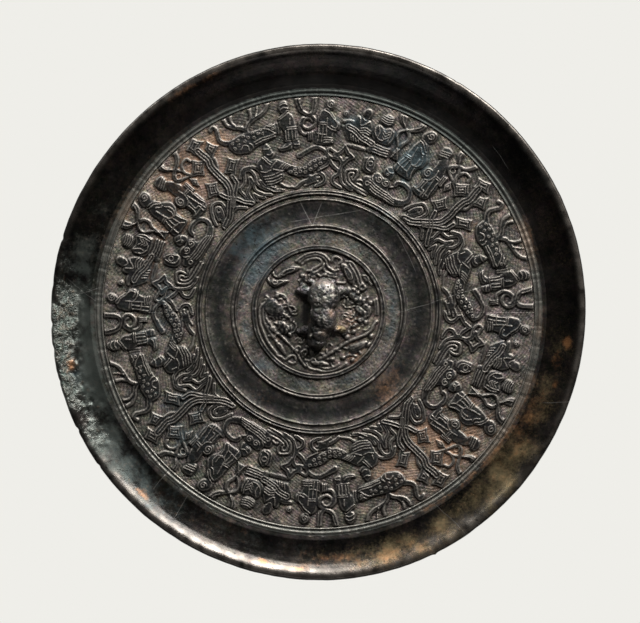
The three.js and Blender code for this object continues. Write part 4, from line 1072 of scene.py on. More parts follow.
def build_field(material):
    """The small field round the knob, with its scrolling dragons."""
    r = Relief(0.6, FIELD_EDGE, 560, 84)
    carve_dragons(r)
    edge = smoothstep((FIELD_EDGE - r.radius) / 0.4)[:, None]
    mass = soften(r.mass, 1)
    crowd = np.clip(patches(r.x, r.y, ROUGH_FIELD), 0.0, 1.0)
    height = FIELD + edge * (mass + r.thread + 0.06 * layered_noise(r.x, r.y, 0.9, 301, 2))
    height += edge * crowd * (0.32 * layered_noise(r.x, r.y, 2.2, 309, 2) + 0.24 * value_noise(r.x, r.y, 0.85, 311))
    height += edge * 0.08 * layered_noise(r.x, r.y, 5.0, 305, 2)
    lump = np.clip((mass - 0.15) / 0.2, 0.0, 1.0)
    maps = finish_maps(r.x, r.y, height, lump, 3, 8)
    # painted shadow on the field beside the beast's left flank
    painted_shadow_beside_beast = np.exp(-((r.x + 4.6) / 1.3) ** 2 - ((r.y + 0.8) / 5.6) ** 4)
    maps["hollow"] = np.clip(maps["hollow"] + 1.2 * painted_shadow_beside_beast, 0.0, 1.0)
    verts, quads, sides, bottom = sheet_mesh("", r.x, r.y, height, None, wrap=True)
    finish_piece(add_mesh("dragon_field", verts, [quads, sides, *bottom], maps, material))


def build_rim(material):
    """The border lines, the dished rim, the outer edge, and the polished face below."""
    columns = 840
    outline = [(0.0, 0.5), (74.5, 0.5), (74.6, GROUND)]
    crest = np.concatenate([np.arange(74.75, 79.3, 0.17), np.linspace(79.4, 90.7, 32)])
    outline += list(zip(crest, turned_height(crest)))
    outline += [(91.2, 6.27), (91.6, 6.28), (92.0, 6.18), (92.3, 5.95), (92.45, 5.6), (92.5, 5.1),
                (92.52, 4.2), (92.5, 3.0), (92.52, 1.8), (92.5, 0.9), (92.3, 0.35), (91.9, 0.0),
                (88.0, 0.0), (60.0, 0.0), (30.0, 0.0), (0.0, 0.0)]
    outline = np.array(outline)
    ring = outline[1:-1]
    turn = np.radians(np.arange(columns) * 360.0 / columns)[None, :]
    radius = ring[:, :1] + 0.0 * turn
    height = ring[:, 1:] + 0.0 * turn
    x, y = radius * np.sin(turn), radius * np.cos(turn)
    top = ((radius > 75.0) & (height > 2.3)).astype(float)
    outer = smoothstep((radius - 88.0) / 3.0)
    maps = finish_maps(x, y, height, np.ones_like(x) - 0.8 * ((radius > 74.0) & (radius < 79.0)))
    # painted shadow of the lip across the border lines near the top
    painted_lip_shadow = np.clip(patches(x, y, [(12, 77, 48, 6, 1.4)]), 0.0, 1.0)
    # painted highlight on the border edges plus a lighter tone on the border lines inside 77.4 mm, both left out under
    # the painted shadow
    maps["crest"] = (radius < 79.0) * (1.0 - painted_lip_shadow) * (0.8 * maps["crest"] + 0.3 * (radius < 77.4))
    maps["greyed"] = np.maximum(maps["greyed"], 0.55 * (radius < 77.6))
    speckle = np.clip(0.75 + 0.9 * layered_noise(x, y, 2.4, 415, 2), 0.1, 1.2)
    # painted highlight on the lip, broken up by speckle
    maps["crest"] += patches(x, y, PAINTED_LIP_HIGHLIGHT) * speckle * (radius > 79.0) * (radius < 92.2)
    # painted shadow: the lip's shadow darkens the colour through the hollow value
    maps["hollow"] = np.maximum(maps["hollow"], 0.95 * painted_lip_shadow)
    # painted shade on the outer edge of the lip, beyond 91.5 mm
    maps["hollow"] = np.maximum(maps["hollow"] * (radius < 82.0), smoothstep((radius - 91.5) / 0.6) * 0.9)
    pits = maps["corroded"] * np.clip(0.3 + value_noise(x, y, 1.6, 402), 0.0, 1.0)
    deep_pits = patches(x, y, CRUST_PITS) * (1.0 + 0.8 * value_noise(x, y, 1.1, 408))
    # painted shade in the deep pits
    maps["hollow"] = np.clip(maps["hollow"] + deep_pits, 0.0, 1.0)
    height = height + top * (0.045 * layered_noise(x, y, 9.0, 401) - 0.36 * pits - deep_pits)
    height += top * maps["corroded"] * (0.75 * layered_noise(x, y, 3.4, 404) + 0.45 * value_noise(x, y, 1.3, 406))
    border = (radius > 74.6) * (radius < 77.6)
    ticks = np.zeros(columns)
    ticks[rng.integers(0, columns, 90)] = 1.0
    height -= border * (0.2 * ticks[None, :] + 0.11 * layered_noise(x, y, 2.0, 403, 2))
    height = np.minimum(height, 6.38)
    radius = radius + rim_swell(x, y) + outer * 0.12 * layered_noise(x, y, 5.0, 410)
    radius = radius - outer * 0.35 * maps["corroded"] * (0.5 + 0.5 * value_noise(x, y, 2.2, 412))
    for clock, depth, reach in EDGE_NICKS:
        off = (np.degrees(turn) - clock + 180.0) % 360.0 - 180.0
        radius = radius - outer * depth * np.exp(-(off / reach) ** 2)
    x, y = radius * np.sin(turn), radius * np.cos(turn)
    rows = len(ring)
    grid = np.arange(rows * columns).reshape(rows, columns)
    j = np.arange(columns)
    k = (j + 1) % columns
    quads = np.stack([grid[:-1][:, j], grid[:-1][:, k], grid[1:][:, k], grid[1:][:, j]], -1)
    quads = quads.reshape(-1, 4)[:, ::-1]
    verts = np.column_stack([x.ravel(), y.ravel(), height.ravel()])
    tray, face = len(verts), len(verts) + 1
    verts = np.vstack([verts, [[0.0, 0.0, outline[0, 1]], [0.0, 0.0, 0.0]]])
    tray_fan = np.column_stack([np.full(columns, tray), grid[0][k], grid[0][j]])
    face_fan = np.column_stack([np.full(columns, face), grid[-1][j], grid[-1][k]])
    finish_piece(add_mesh("rim_and_face", verts, [quads, tray_fan, face_fan], maps, material))


# ---------------------------------------------------------------- the crouching beast

def swell(x, y, half_x, half_y, half_z, fullness=1.0, lean=0.0, around=32, rows=14, base=FIELD):
    """A closed rounded mass that grows out of the field, in mm."""
    rise = np.linspace(0.0, math.pi / 2, rows)
    reach = np.cos(rise) ** fullness
    up = np.sin(rise) ** fullness
    turn = np.linspace(0.0, 2 * math.pi, around, endpoint=False)
    level = [(1.0, -0.9 / half_z)] + list(zip(reach[:-1], up[:-1]))
    verts = []
    for r, z in level:
        for t in turn:
            u, v = half_x * r * math.cos(t), half_y * r * math.sin(t)
            c, s = math.cos(math.radians(lean)), math.sin(math.radians(lean))
            verts.append((x + u * c - v * s, y + u * s + v * c, base + half_z * z))
    verts.append((x, y, base - 0.9))
    verts.append((x, y, base + half_z))
    faces = []
    n = len(level)
    for i in range(around):
        j = (i + 1) % around
        faces.append((len(verts) - 2, j, i))
        faces.append((len(verts) - 1, (n - 1) * around + i, (n - 1) * around + j))
        for k in range(n - 1):
            faces.append((k * around + i, k * around + j, (k + 1) * around + j, (k + 1) * around + i))
    return verts, faces


KNOB_MASSES = [
    # x, y, half lengths in x, y and z, fullness, lean
    (1.8, 5.2, 5.6, 6.0, 8.2, 0.55, 0),
    (1.5, -0.6, 4.9, 7.4, 7.6, 0.58, 4),
    (0.4, -6.2, 3.9, 4.6, 6.6, 0.7, 0),
    (-0.7, -9.8, 3.5, 3.2, 5.2, 0.75, 0),
    (-0.9, -11.8, 2.3, 1.6, 3.4, 0.8, 0),
    (-2.7, -8.4, 1.2, 1.4, 5.6, 0.9, 20),
    (1.6, -8.2, 1.2, 1.4, 5.6, 0.9, -20),
    (-4.6, 7.2, 2.6, 1.8, 2.6, 0.7, 8),
    (-6.3, 7.4, 1.8, 1.5, 1.7, 0.7, 20),
    (-5.4, 9.2, 1.3, 0.9, 1.2, 0.7, -30),
    (7.2, 7.4, 2.6, 1.8, 2.4, 0.7, 10),
    (9.2, 7.4, 1.7, 1.4, 1.5, 0.7, -20),
    (8.2, 5.6, 1.5, 1.0, 1.2, 0.7, 30),
    (5.8, -5.6, 2.4, 1.6, 2.4, 0.7, -14),
    (7.8, -6.2, 1.9, 1.4, 1.6, 0.7, 10),
    (8.8, -7.6, 1.3, 0.9, 1.1, 0.7, 40),
    (-4.6, -6.2, 2.2, 1.6, 2.2, 0.7, 14),
    (-6.4, -6.8, 1.8, 1.3, 1.5, 0.7, -10),
    (1.6, 10.6, 1.8, 1.3, 4.2, 0.8, 0),
    (-2.6, 10.6, 1.5, 1.1, 2.2, 0.8, 0),
    (4.9, 10.4, 1.3, 1.1, 2.0, 0.8, 0),
]


def join_shapes(name, shapes):
    mesh = bpy.data.meshes.new(name)
    verts, faces = [], []
    for shape_verts, shape_faces in shapes:
        shift = len(verts)
        verts += [(a * MM, b * MM, c * MM) for a, b, c in shape_verts]
        faces += [tuple(i + shift for i in f) for f in shape_faces]
    mesh.from_pydata(verts, [], faces)
    mesh.update()
    thing = bpy.data.objects.new(name, mesh)
    bpy.context.scene.collection.objects.link(thing)
    return thing


def cord_hole_cutter():
    """An arched passage along X: half width 3.7 mm, floor on the field, crown at 7.4 mm."""
    section = [(-3.7, 2.0), (3.7, 2.0)]
    for step in range(13):
        turn = math.pi * step / 12
        section.append((3.7 * math.cos(turn), 4.7 + 2.7 * math.sin(turn)))
    n = len(section)
    verts = [(-14.0, a, b) for a, b in section] + [(14.0, a, b) for a, b in section]
    faces = [tuple(range(n))[::-1], tuple(range(n, 2 * n))]
    faces += [(i, (i + 1) % n, n + (i + 1) % n, n + i) for i in range(n)]
    cutter = join_shapes("cord_hole_cutter", [(verts, faces)])
    bm = bmesh.new()
    bm.from_mesh(cutter.data)
    bmesh.ops.recalc_face_normals(bm, faces=bm.faces)
    bm.to_mesh(cutter.data)
    bm.free()
    return cutter


def settle(thing, name):
    """The modified shape as a plain mesh in a fresh object; the working object is removed."""
    depsgraph = bpy.context.evaluated_depsgraph_get()
    mesh = bpy.data.meshes.new_from_object(thing.evaluated_get(depsgraph))
    mesh.name = name
    plain = bpy.data.objects.new(name, mesh)
    bpy.context.scene.collection.objects.link(plain)
    bpy.data.objects.remove(thing)
    return plain


def knob_maps(x, y, z):
    """Stains of the beast, with painted shade round its foot, in its pits and towards its lower end, and a painted
    highlight on top.
    """
    maps = finish_maps(x[None, :], y[None, :], z[None, :] * 0.0, np.ones_like(x)[None, :])
    maps = {key: values[0] for key, values in maps.items()}
    pits = layered_noise(x, y + 0.7 * z, 1.0, 507, 2)
    # painted shade: darker low down near the field and in the pits
    maps["hollow"] = np.clip(0.9 - (z - 2.0) / 2.6, 0.0, 1.0) + np.clip(-pits * 1.1, 0.0, 0.8)
    # painted shade: darker towards the head at the lower end
    maps["hollow"] += 0.4 * smoothstep((0.5 - y) / 5.0)
    # painted highlight: lighter high up on the body
    maps["crest"] = np.clip((z - 4.0) / 4.0, 0.0, 1.0) * np.clip(0.2 + 1.2 * pits, 0.0, 1.0)
    maps["copper"] = (np.exp(-((y - 10.2) / 1.2) ** 2) * (z > 5.0) * 0.4
                      + np.exp(-((x - 4.4) / 1.4) ** 2 - ((y + 0.4) / 1.8) ** 2) * 0.7
                      + np.exp(-((x - 1.6) / 1.8) ** 2 - ((y + 7.0) / 1.4) ** 2) * 0.5)
    maps["gold"] = np.exp(-((x - 7.6) / 2.2) ** 2 - ((y + 5.6) / 1.8) ** 2) * 0.8
    return maps


def build_knob(material):
    raw = join_shapes("beast_masses", [swell(x, y, a, b, c, full, lean)
                                       for x, y, a, b, c, full, lean in KNOB_MASSES])
    union = raw.modifiers.new("union", "REMESH")
    union.mode = "VOXEL"
    union.voxel_size = 0.26 * MM
    cutter = cord_hole_cutter()
    passage = raw.modifiers.new("passage", "BOOLEAN")
    passage.operation = "DIFFERENCE"
    passage.solver = "EXACT"
    passage.object = cutter
    again = raw.modifiers.new("even", "REMESH")
    again.mode = "VOXEL"
    again.voxel_size = 0.26 * MM
    knob = settle(raw, "beast_knob")
    bpy.data.objects.remove(cutter)
    mesh = knob.data
    count = len(mesh.vertices)
    co = np.empty(count * 3, dtype=np.float32)
    mesh.vertices.foreach_get("co", co)
    co = co.reshape(-1, 3).astype(float) / MM
    normal = np.empty(count * 3, dtype=np.float32)
    mesh.vertices.foreach_get("normal", normal)
    normal = normal.reshape(-1, 3)
    x, y, z = co.T
    lumps = layered_noise(x + 0.6 * z, y - 0.5 * z, 2.8, 501)
    pits = layered_noise(x, y + 0.7 * z, 1.0, 507, 2)
    rise = smoothstep((z - 2.1) / 0.6)
    push = rise * (0.12 * lumps + 0.16 * pits + 0.13 * value_noise(x, y + z, 0.62, 509))
    spine = np.exp(-((x - 1.6 + 0.12 * (5.0 - y)) / 0.5) ** 2) * (z > 7.0) * np.clip((9.0 - y) / 4.0, 0, 1)
    push += 0.14 * spine
    haunch_x, haunch_y = np.abs(x - 1.8) - 3.6, y - 3.6
    push -= rise * 0.08 * np.exp(-((np.hypot(haunch_x, haunch_y) - 2.6) / 0.5) ** 2) * (z > 4.0)
    push -= 0.2 * np.exp(-((y + 6.6 + 0.1 * x ** 2) / 0.45) ** 2) * (z > 5.0)
    co += normal * push[:, None]
    co[:, 2] = np.minimum(co[:, 2], 10.35)
    mesh.vertices.foreach_set("co", (co * MM).astype(np.float32).ravel())
    mesh.update()
    mesh.polygons.foreach_set("use_smooth", np.ones(len(mesh.polygons), dtype=bool))
    maps = knob_maps(x, y, z)
    for key, values in maps.items():
        layer = mesh.attributes.new(key, "FLOAT", "POINT")
        layer.data.foreach_set("value", np.clip(values, 0.0, 1.0).astype(np.float32))
    mesh.materials.clear()
    mesh.materials.append(material)
    finish_piece(knob)


# ---------------------------------------------------------------- finishes

def put(tree, kind, inputs=(), **settings):
    """A node with its settings; each input is a plain value or another node's output."""
    node = tree.nodes.new(kind)
    for key, value in settings.items():
        setattr(node, key, value)
    for key, value in dict(inputs).items():
        if isinstance(value, bpy.types.NodeSocket):
            tree.links.new(value, node.inputs[key])
        else:
            node.inputs[key].default_value = value
    return node


def maths(tree, operation, a, b=0.0, clamp=False):
    return put(tree, "ShaderNodeMath", {0: a, 1: b}, operation=operation, use_clamp=clamp).outputs[0]


def blend_colour(tree, factor, a, b, kind="MIX"):
    mix = put(tree, "ShaderNodeMix", data_type="RGBA", blend_type=kind, clamp_factor=True)
    for index, value in ((0, factor), (6, a), (7, b)):
        if isinstance(value, bpy.types.NodeSocket):
            tree.links.new(value, mix.inputs[index])
        else:
            mix.inputs[index].default_value = value
    return mix.outputs[2]


def ramp(tree, value, low, high):
    """Runs smoothly from 0 to 1 as the value goes from low to high."""
    inputs = {"Value": value, "From Min": low, "From Max": high}
    return put(tree, "ShaderNodeMapRange", inputs, interpolation_type="SMOOTHSTEP").outputs[0]


def start_group(name, inputs, outputs):
    group = bpy.data.node_groups.new(name, "ShaderNodeTree")
    for label, kind, default in inputs:
        socket = group.interface.new_socket(name=label, in_out="INPUT", socket_type=kind)
        if default is not None:
            socket.default_value = default
    for label, kind in outputs:
        group.interface.new_socket(name=label, in_out="OUTPUT", socket_type=kind)
    return group, group.nodes.new("NodeGroupInput").outputs, group.nodes.new("NodeGroupOutput").inputs


def make_mottle_group():
    """Cloudy patina: two colours drift into each other over the metal."""
    group, given, made = start_group(
        "patina_mottle",
        [("Deep", "NodeSocketColor", (0.05, 0.04, 0.03, 1)), ("Pale", "NodeSocketColor", (0.2, 0.17, 0.14, 1)),
         ("Scale", "NodeSocketFloat", 120.0), ("Contrast", "NodeSocketFloat", 0.25)],
        [("Color", "NodeSocketColor"), ("Cloud", "NodeSocketFloat")])
    place = put(group, "ShaderNodeTexCoord").outputs["Object"]
    cloud = put(group, "ShaderNodeTexNoise",
                {"Vector": place, "Scale": given["Scale"], "Detail": 6.0, "Roughness": 0.62})
    low = maths(group, "SUBTRACT", 0.5, given["Contrast"])
    high = maths(group, "ADD", 0.5, given["Contrast"])
    share = ramp(group, cloud.outputs["Fac"], low, high)
    group.links.new(blend_colour(group, share, given["Deep"], given["Pale"]), made["Color"])
    group.links.new(share, made["Cloud"])
    return group


def make_stain_group():
    """A mineral stain laid over the metal, broken up into flecks at its edge."""
    group, given, made = start_group(
        "mineral_stain",
        [("Base", "NodeSocketColor", None), ("Stain", "NodeSocketColor", (0.3, 0.12, 0.05, 1)),
         ("Mask", "NodeSocketFloat", 0.0), ("Fleck Scale", "NodeSocketFloat", 700.0),
         ("Cover", "NodeSocketFloat", 0.6)],
        [("Color", "NodeSocketColor"), ("Mask", "NodeSocketFloat")])
    place = put(group, "ShaderNodeTexCoord").outputs["Object"]
    fleck = put(group, "ShaderNodeTexNoise",
                {"Vector": place, "Scale": given["Fleck Scale"], "Detail": 4.0, "Roughness": 0.7})
    lifted = maths(group, "ADD", given["Mask"], maths(group, "SUBTRACT", fleck.outputs["Fac"], 0.5))
    share = maths(group, "MULTIPLY", ramp(group, lifted, 0.12, 0.85), given["Cover"], clamp=True)
    group.links.new(blend_colour(group, share, given["Base"], given["Stain"]), made["Color"])
    group.links.new(share, made["Mask"])
    return group


def make_fleck_group():
    """Many-coloured specks of patina, a little lighter or darker than the metal they lie on."""
    group, given, made = start_group(
        "patina_flecks", [("Scale", "NodeSocketFloat", 1500.0)], [("Color", "NodeSocketColor")])
    place = put(group, "ShaderNodeTexCoord").outputs["Object"]
    speck = put(group, "ShaderNodeTexNoise",
                {"Vector": place, "Scale": given["Scale"], "Detail": 3.0, "Roughness": 0.75})
    spread = put(group, "ShaderNodeVectorMath", {0: speck.outputs["Color"], 1: (2.0, 2.0, 2.0),
                                                 2: (-0.5, -0.5, -0.5)}, operation="MULTIPLY_ADD")
    shade = maths(group, "ADD", maths(group, "MULTIPLY", speck.outputs["Fac"], 2.4), -0.7)
    group.links.new(blend_colour(group, 0.74, spread.outputs[0], shade), made["Color"])
    return group


def make_surface_group():
    """Cast skin: fine grain and small pits, as a height from 0 to 1."""
    group, given, made = start_group(
        "cast_skin",
        [("Grain Scale", "NodeSocketFloat", 2400.0), ("Pit Scale", "NodeSocketFloat", 900.0),
         ("Pit Depth", "NodeSocketFloat", 0.4)],
        [("Height", "NodeSocketFloat"), ("Pits", "NodeSocketFloat")])
    place = put(group, "ShaderNodeTexCoord").outputs["Object"]
    grain = put(group, "ShaderNodeTexNoise",
                {"Vector": place, "Scale": given["Grain Scale"], "Detail": 3.0, "Roughness": 0.6})
    cells = put(group, "ShaderNodeTexVoronoi",
                {"Vector": place, "Scale": given["Pit Scale"]}, feature="F1").outputs["Distance"]
    sparse = put(group, "ShaderNodeTexNoise", {"Vector": place, "Scale": 260.0, "Detail": 2.0})
    pits = maths(group, "MULTIPLY", ramp(group, cells, 0.42, 0.12),
                 ramp(group, sparse.outputs["Fac"], 0.52, 0.66))
    drop = maths(group, "MULTIPLY", pits, given["Pit Depth"])
    group.links.new(maths(group, "SUBTRACT", grain.outputs["Fac"], drop), made["Height"])
    group.links.new(pits, made["Pits"])
    return group


def make_hairline_group():
    """One thin scratch between two places, fading towards its ends."""
    group, given, made = start_group(
        "hairline",
        [("Start", "NodeSocketVector", None), ("End", "NodeSocketVector", None),
         ("Width", "NodeSocketFloat", 0.0002)],
        [("Mask", "NodeSocketFloat")])
    place = put(group, "ShaderNodeTexCoord").outputs["Object"]

    def vector(operation, a, b, output="Vector"):
        return put(group, "ShaderNodeVectorMath", {0: a, 1: b}, operation=operation).outputs[output]

    flat = vector("MULTIPLY", place, (1.0, 1.0, 0.0))
    wander = put(group, "ShaderNodeTexNoise", {"Vector": place, "Scale": 90.0, "Detail": 2.0})
    drift = vector("MULTIPLY", vector("SUBTRACT", wander.outputs["Color"], (0.5, 0.5, 0.5)),
                   (0.0016, 0.0016, 0.0))
    from_start = vector("SUBTRACT", vector("ADD", flat, drift), given["Start"])
    line = vector("SUBTRACT", given["End"], given["Start"])
    share = maths(group, "DIVIDE", vector("DOT_PRODUCT", from_start, line, "Value"),
                  vector("DOT_PRODUCT", line, line, "Value"), clamp=True)
    on_line = put(group, "ShaderNodeVectorMath", {0: line, "Scale": share}, operation="SCALE").outputs[0]
    gap = vector("DISTANCE", from_start, on_line, "Value")
    thin = ramp(group, maths(group, "DIVIDE", gap, given["Width"]), 1.0, 0.2)
    ends = maths(group, "MULTIPLY", ramp(group, share, 0.0, 0.15), ramp(group, share, 1.0, 0.85))
    group.links.new(maths(group, "MULTIPLY", thin, ends), made["Mask"])
    return group


# Thin scratches on the metal, from end to end in mm: (x, y, x, y, width)
HAIRLINES = [
    (77.0, -31.5, 91.0, -30.9, 0.22), (21.0, -2.2, 69.6, 12.6, 0.16), (-6.6, 38.8, -2.2, 29.6, 0.22),
    (1.2, 38.4, -2.2, 29.6, 0.2), (-58.0, -62.0, -51.0, -54.0, 0.2), (-50.0, -71.5, -45.0, -63.0, 0.16),
    (-90.0, 4.0, -74.0, 9.0, 0.18), (-88.0, 12.0, -76.0, 3.0, 0.14), (40.0, -66.0, 52.0, -78.0, 0.14),
    (-12.0, 31.0, 18.0, 36.0, 0.14), (26.0, 29.0, 34.0, 13.0, 0.16), (60.0, 58.0, 66.0, 49.0, 0.14),
]


def make_bronze(name, groups, deep, pale, high, rough_ground, rough_raised, relief_bump, on_raised=1.0):
    """Patinated cast bronze. Its stains and wear, its painted shade and its painted highlights are read from the values
    kept on each mesh.
    """
    material = bpy.data.materials.new(name)
    material.use_nodes = True
    tree = material.node_tree
    tree.nodes.clear()

    def value(key):
        return put(tree, "ShaderNodeAttribute", attribute_name=key).outputs["Fac"]

    def group(key, **inputs):
        node = put(tree, "ShaderNodeGroup", node_tree=groups[key])
        for label, given in inputs.items():
            socket = node.inputs[label.replace("_", " ")]
            if isinstance(given, bpy.types.NodeSocket):
                tree.links.new(given, socket)
            else:
                socket.default_value = given
        return node.outputs

    raised, hollow, crest, corroded = value("raised"), value("hollow"), value("crest"), value("corroded")
    ground = group("mottle", Deep=deep, Pale=pale, Scale=150.0, Contrast=0.2)
    dark = group("mottle", Deep=(0.007, 0.0066, 0.0062, 1), Pale=high, Scale=110.0, Contrast=0.2)
    colour = blend_colour(tree, raised, ground["Color"], dark["Color"])
    tint = group("flecks", Scale=1500.0)
    speckled = maths(tree, "SUBTRACT", 0.55, maths(tree, "MULTIPLY", raised, 0.15))
    colour = blend_colour(tree, speckled, colour, tint["Color"], "OVERLAY")
    clouds = group("flecks", Scale=420.0)
    colour = blend_colour(tree, 0.6, colour, clouds["Color"], "OVERLAY")
    drifts = group("flecks", Scale=75.0)
    colour = blend_colour(tree, 0.34, colour, drifts["Color"], "OVERLAY")
    # painted shade: the hollow value darkens the colour towards near black
    colour = blend_colour(tree, maths(tree, "MULTIPLY", hollow, 0.9), colour, (0.008, 0.0075, 0.007, 1))
    # painted highlight: the crest value lightens the colour towards pale bronze
    colour = blend_colour(tree, maths(tree, "MULTIPLY", crest, 0.36), colour, (0.34, 0.305, 0.265, 1))
    bare = maths(tree, "SUBTRACT", 1.0, maths(tree, "MULTIPLY", raised, 1.0 - on_raised))
    copper = group("stain", Base=colour, Stain=(0.235, 0.132, 0.076, 1),
                   Mask=maths(tree, "MULTIPLY", value("copper"), bare), Fleck_Scale=900.0, Cover=0.6)
    teal = group("stain", Base=copper["Color"], Stain=(0.05, 0.075, 0.085, 1), Mask=value("teal"),
                 Fleck_Scale=600.0, Cover=0.65)
    gold = group("stain", Base=teal["Color"], Stain=(0.15, 0.118, 0.062, 1), Mask=value("gold"),
                 Fleck_Scale=1000.0, Cover=0.8)
    grey = group("stain", Base=gold["Color"], Stain=(0.045, 0.053, 0.047, 1), Mask=value("greyed"),
                 Fleck_Scale=900.0, Cover=0.7)
    crust = group("stain", Base=grey["Color"], Stain=(0.07, 0.077, 0.067, 1), Mask=corroded,
                  Fleck_Scale=700.0, Cover=0.9)
    rusting = maths(tree, "ADD", maths(tree, "MULTIPLY", corroded, 0.2), value("rusty"))
    rusting = maths(tree, "ADD", rusting, maths(tree, "MULTIPLY", value("gold"), 0.3))
    rust = group("stain", Base=crust["Color"], Stain=(0.33, 0.15, 0.06, 1), Mask=rusting,
                 Fleck_Scale=480.0, Cover=0.65)
    verdigris = group("stain", Base=rust["Color"], Stain=(0.07, 0.2, 0.16, 1),
                      Mask=maths(tree, "MULTIPLY", corroded, 0.24), Fleck_Scale=450.0, Cover=0.6)
    skin = group("skin", Grain_Scale=1700.0, Pit_Scale=820.0, Pit_Depth=0.6)
    colour = blend_colour(tree, maths(tree, "MULTIPLY", skin["Pits"], 0.75), verdigris["Color"],
                          (0.012, 0.01, 0.009, 1))
    scratch = None
    for x0, y0, x1, y1, width in HAIRLINES:
        line = group("hairline", Start=(x0 * MM, y0 * MM, 0), End=(x1 * MM, y1 * MM, 0), Width=width * MM)
        scratch = line["Mask"] if scratch is None else maths(tree, "MAXIMUM", scratch, line["Mask"])
    colour = blend_colour(tree, maths(tree, "MULTIPLY", scratch, 0.3), colour, (0.3, 0.29, 0.27, 1))
    place = put(tree, "ShaderNodeTexCoord").outputs["Object"]
    smear = put(tree, "ShaderNodeTexNoise", {"Vector": place, "Scale": 120.0, "Detail": 6.0,
                                             "Roughness": 0.65}).outputs["Fac"]
    rough = put(tree, "ShaderNodeMapRange", {"Value": raised, "To Min": rough_ground,
                                             "To Max": rough_raised}).outputs[0]
    rough = maths(tree, "ADD", rough, maths(tree, "MULTIPLY", maths(tree, "SUBTRACT", smear, 0.5), 0.5))
    rough = maths(tree, "ADD", rough, maths(tree, "MULTIPLY", crust["Mask"], 0.08))
    rough = maths(tree, "ADD", rough, maths(tree, "MULTIPLY", grey["Mask"], 0.25))
    rough = maths(tree, "ADD", rough, maths(tree, "MULTIPLY", gold["Mask"], 0.1))
    rough = maths(tree, "ADD", rough, maths(tree, "MULTIPLY", rust["Mask"], 0.08))
    rough = maths(tree, "ADD", rough, maths(tree, "MULTIPLY", hollow, 0.15), clamp=True)
    metal = put(tree, "ShaderNodeMapRange", {"Value": maths(tree, "ADD", crust["Mask"], copper["Mask"]),
                                             "From Max": 1.2, "To Min": 0.8, "To Max": 0.3}).outputs[0]
    lumps = put(tree, "ShaderNodeTexNoise", {"Vector": place, "Scale": 480.0, "Detail": 5.0,
                                             "Roughness": 0.6}).outputs["Fac"]
    coarse = put(tree, "ShaderNodeBump", {"Strength": crust["Mask"], "Distance": 0.0024, "Height": lumps})
    worked = maths(tree, "MULTIPLY", maths(tree, "SUBTRACT", 1.0, maths(tree, "MULTIPLY", raised, 0.5)),
                   relief_bump)
    bump = put(tree, "ShaderNodeBump", {"Strength": worked, "Distance": 0.00028,
                                        "Height": skin["Height"], "Normal": coarse.outputs[0]})
    shader = put(tree, "ShaderNodeBsdfPrincipled",
                 {"Base Color": colour, "Roughness": rough, "Metallic": metal, "Normal": bump.outputs[0]})
    out = put(tree, "ShaderNodeOutputMaterial")
    tree.links.new(shader.outputs[0], out.inputs["Surface"])
    return material


# ---------------------------------------------------------------- crumbs of corrosion

def make_crumb_tree():
    """Scatters small lumps over the places where the metal is corroded."""
    tree = bpy.data.node_groups.new("corrosion_crumbs", "GeometryNodeTree")
    face = tree.interface
    for label, kind, way in (("Geometry", "NodeSocketGeometry", "INPUT"), ("Density", "NodeSocketFloat", "INPUT"),
                             ("Smallest", "NodeSocketFloat", "INPUT"), ("Largest", "NodeSocketFloat", "INPUT"),
                             ("Seed", "NodeSocketInt", "INPUT"), ("Material", "NodeSocketMaterial", "INPUT"),
                             ("Geometry", "NodeSocketGeometry", "OUTPUT")):
        face.new_socket(name=label, in_out=way, socket_type=kind)
    given = tree.nodes.new("NodeGroupInput").outputs
    named = put(tree, "GeometryNodeInputNamedAttribute", {"Name": "corroded"}, data_type="FLOAT")
    strong = put(tree, "ShaderNodeMapRange", {"Value": named.outputs["Attribute"], "From Min": 0.35,
                                              "From Max": 1.0}).outputs[0]
    density = put(tree, "ShaderNodeMath", {0: strong, 1: given["Density"]}, operation="MULTIPLY").outputs[0]
    points = put(tree, "GeometryNodeDistributePointsOnFaces",
                 {"Mesh": given["Geometry"], "Density": density, "Seed": given["Seed"]})
    lump = put(tree, "GeometryNodeMeshIcoSphere", {"Radius": 1.0, "Subdivisions": 1})
    size = put(tree, "FunctionNodeRandomValue", {"Min": (0, 0, 0), "Max": (1, 1, 1)},
               data_type="FLOAT_VECTOR")
    tree.links.new(given["Seed"], size.inputs["Seed"])
    span = put(tree, "ShaderNodeMath", {0: given["Largest"], 1: given["Smallest"]}, operation="SUBTRACT")
    grown = put(tree, "ShaderNodeVectorMath", {0: size.outputs["Value"]}, operation="SCALE")
    tree.links.new(span.outputs[0], grown.inputs["Scale"])
    least = put(tree, "ShaderNodeCombineXYZ", {0: given["Smallest"], 1: given["Smallest"],
                                               2: given["Smallest"]})
    scale = put(tree, "ShaderNodeVectorMath", {0: grown.outputs[0], 1: least.outputs[0]}, operation="ADD")
    scattered = put(tree, "GeometryNodeInstanceOnPoints",
                    {"Points": points.outputs["Points"], "Instance": lump.outputs["Mesh"],
                     "Rotation": points.outputs["Rotation"], "Scale": scale.outputs[0]})
    real = put(tree, "GeometryNodeRealizeInstances", {"Geometry": scattered.outputs[0]})
    dressed = put(tree, "GeometryNodeSetMaterial", {"Geometry": real.outputs[0], "Material": given["Material"]})
    out = tree.nodes.new("NodeGroupOutput")
    tree.links.new(dressed.outputs[0], out.inputs[0])
    return tree


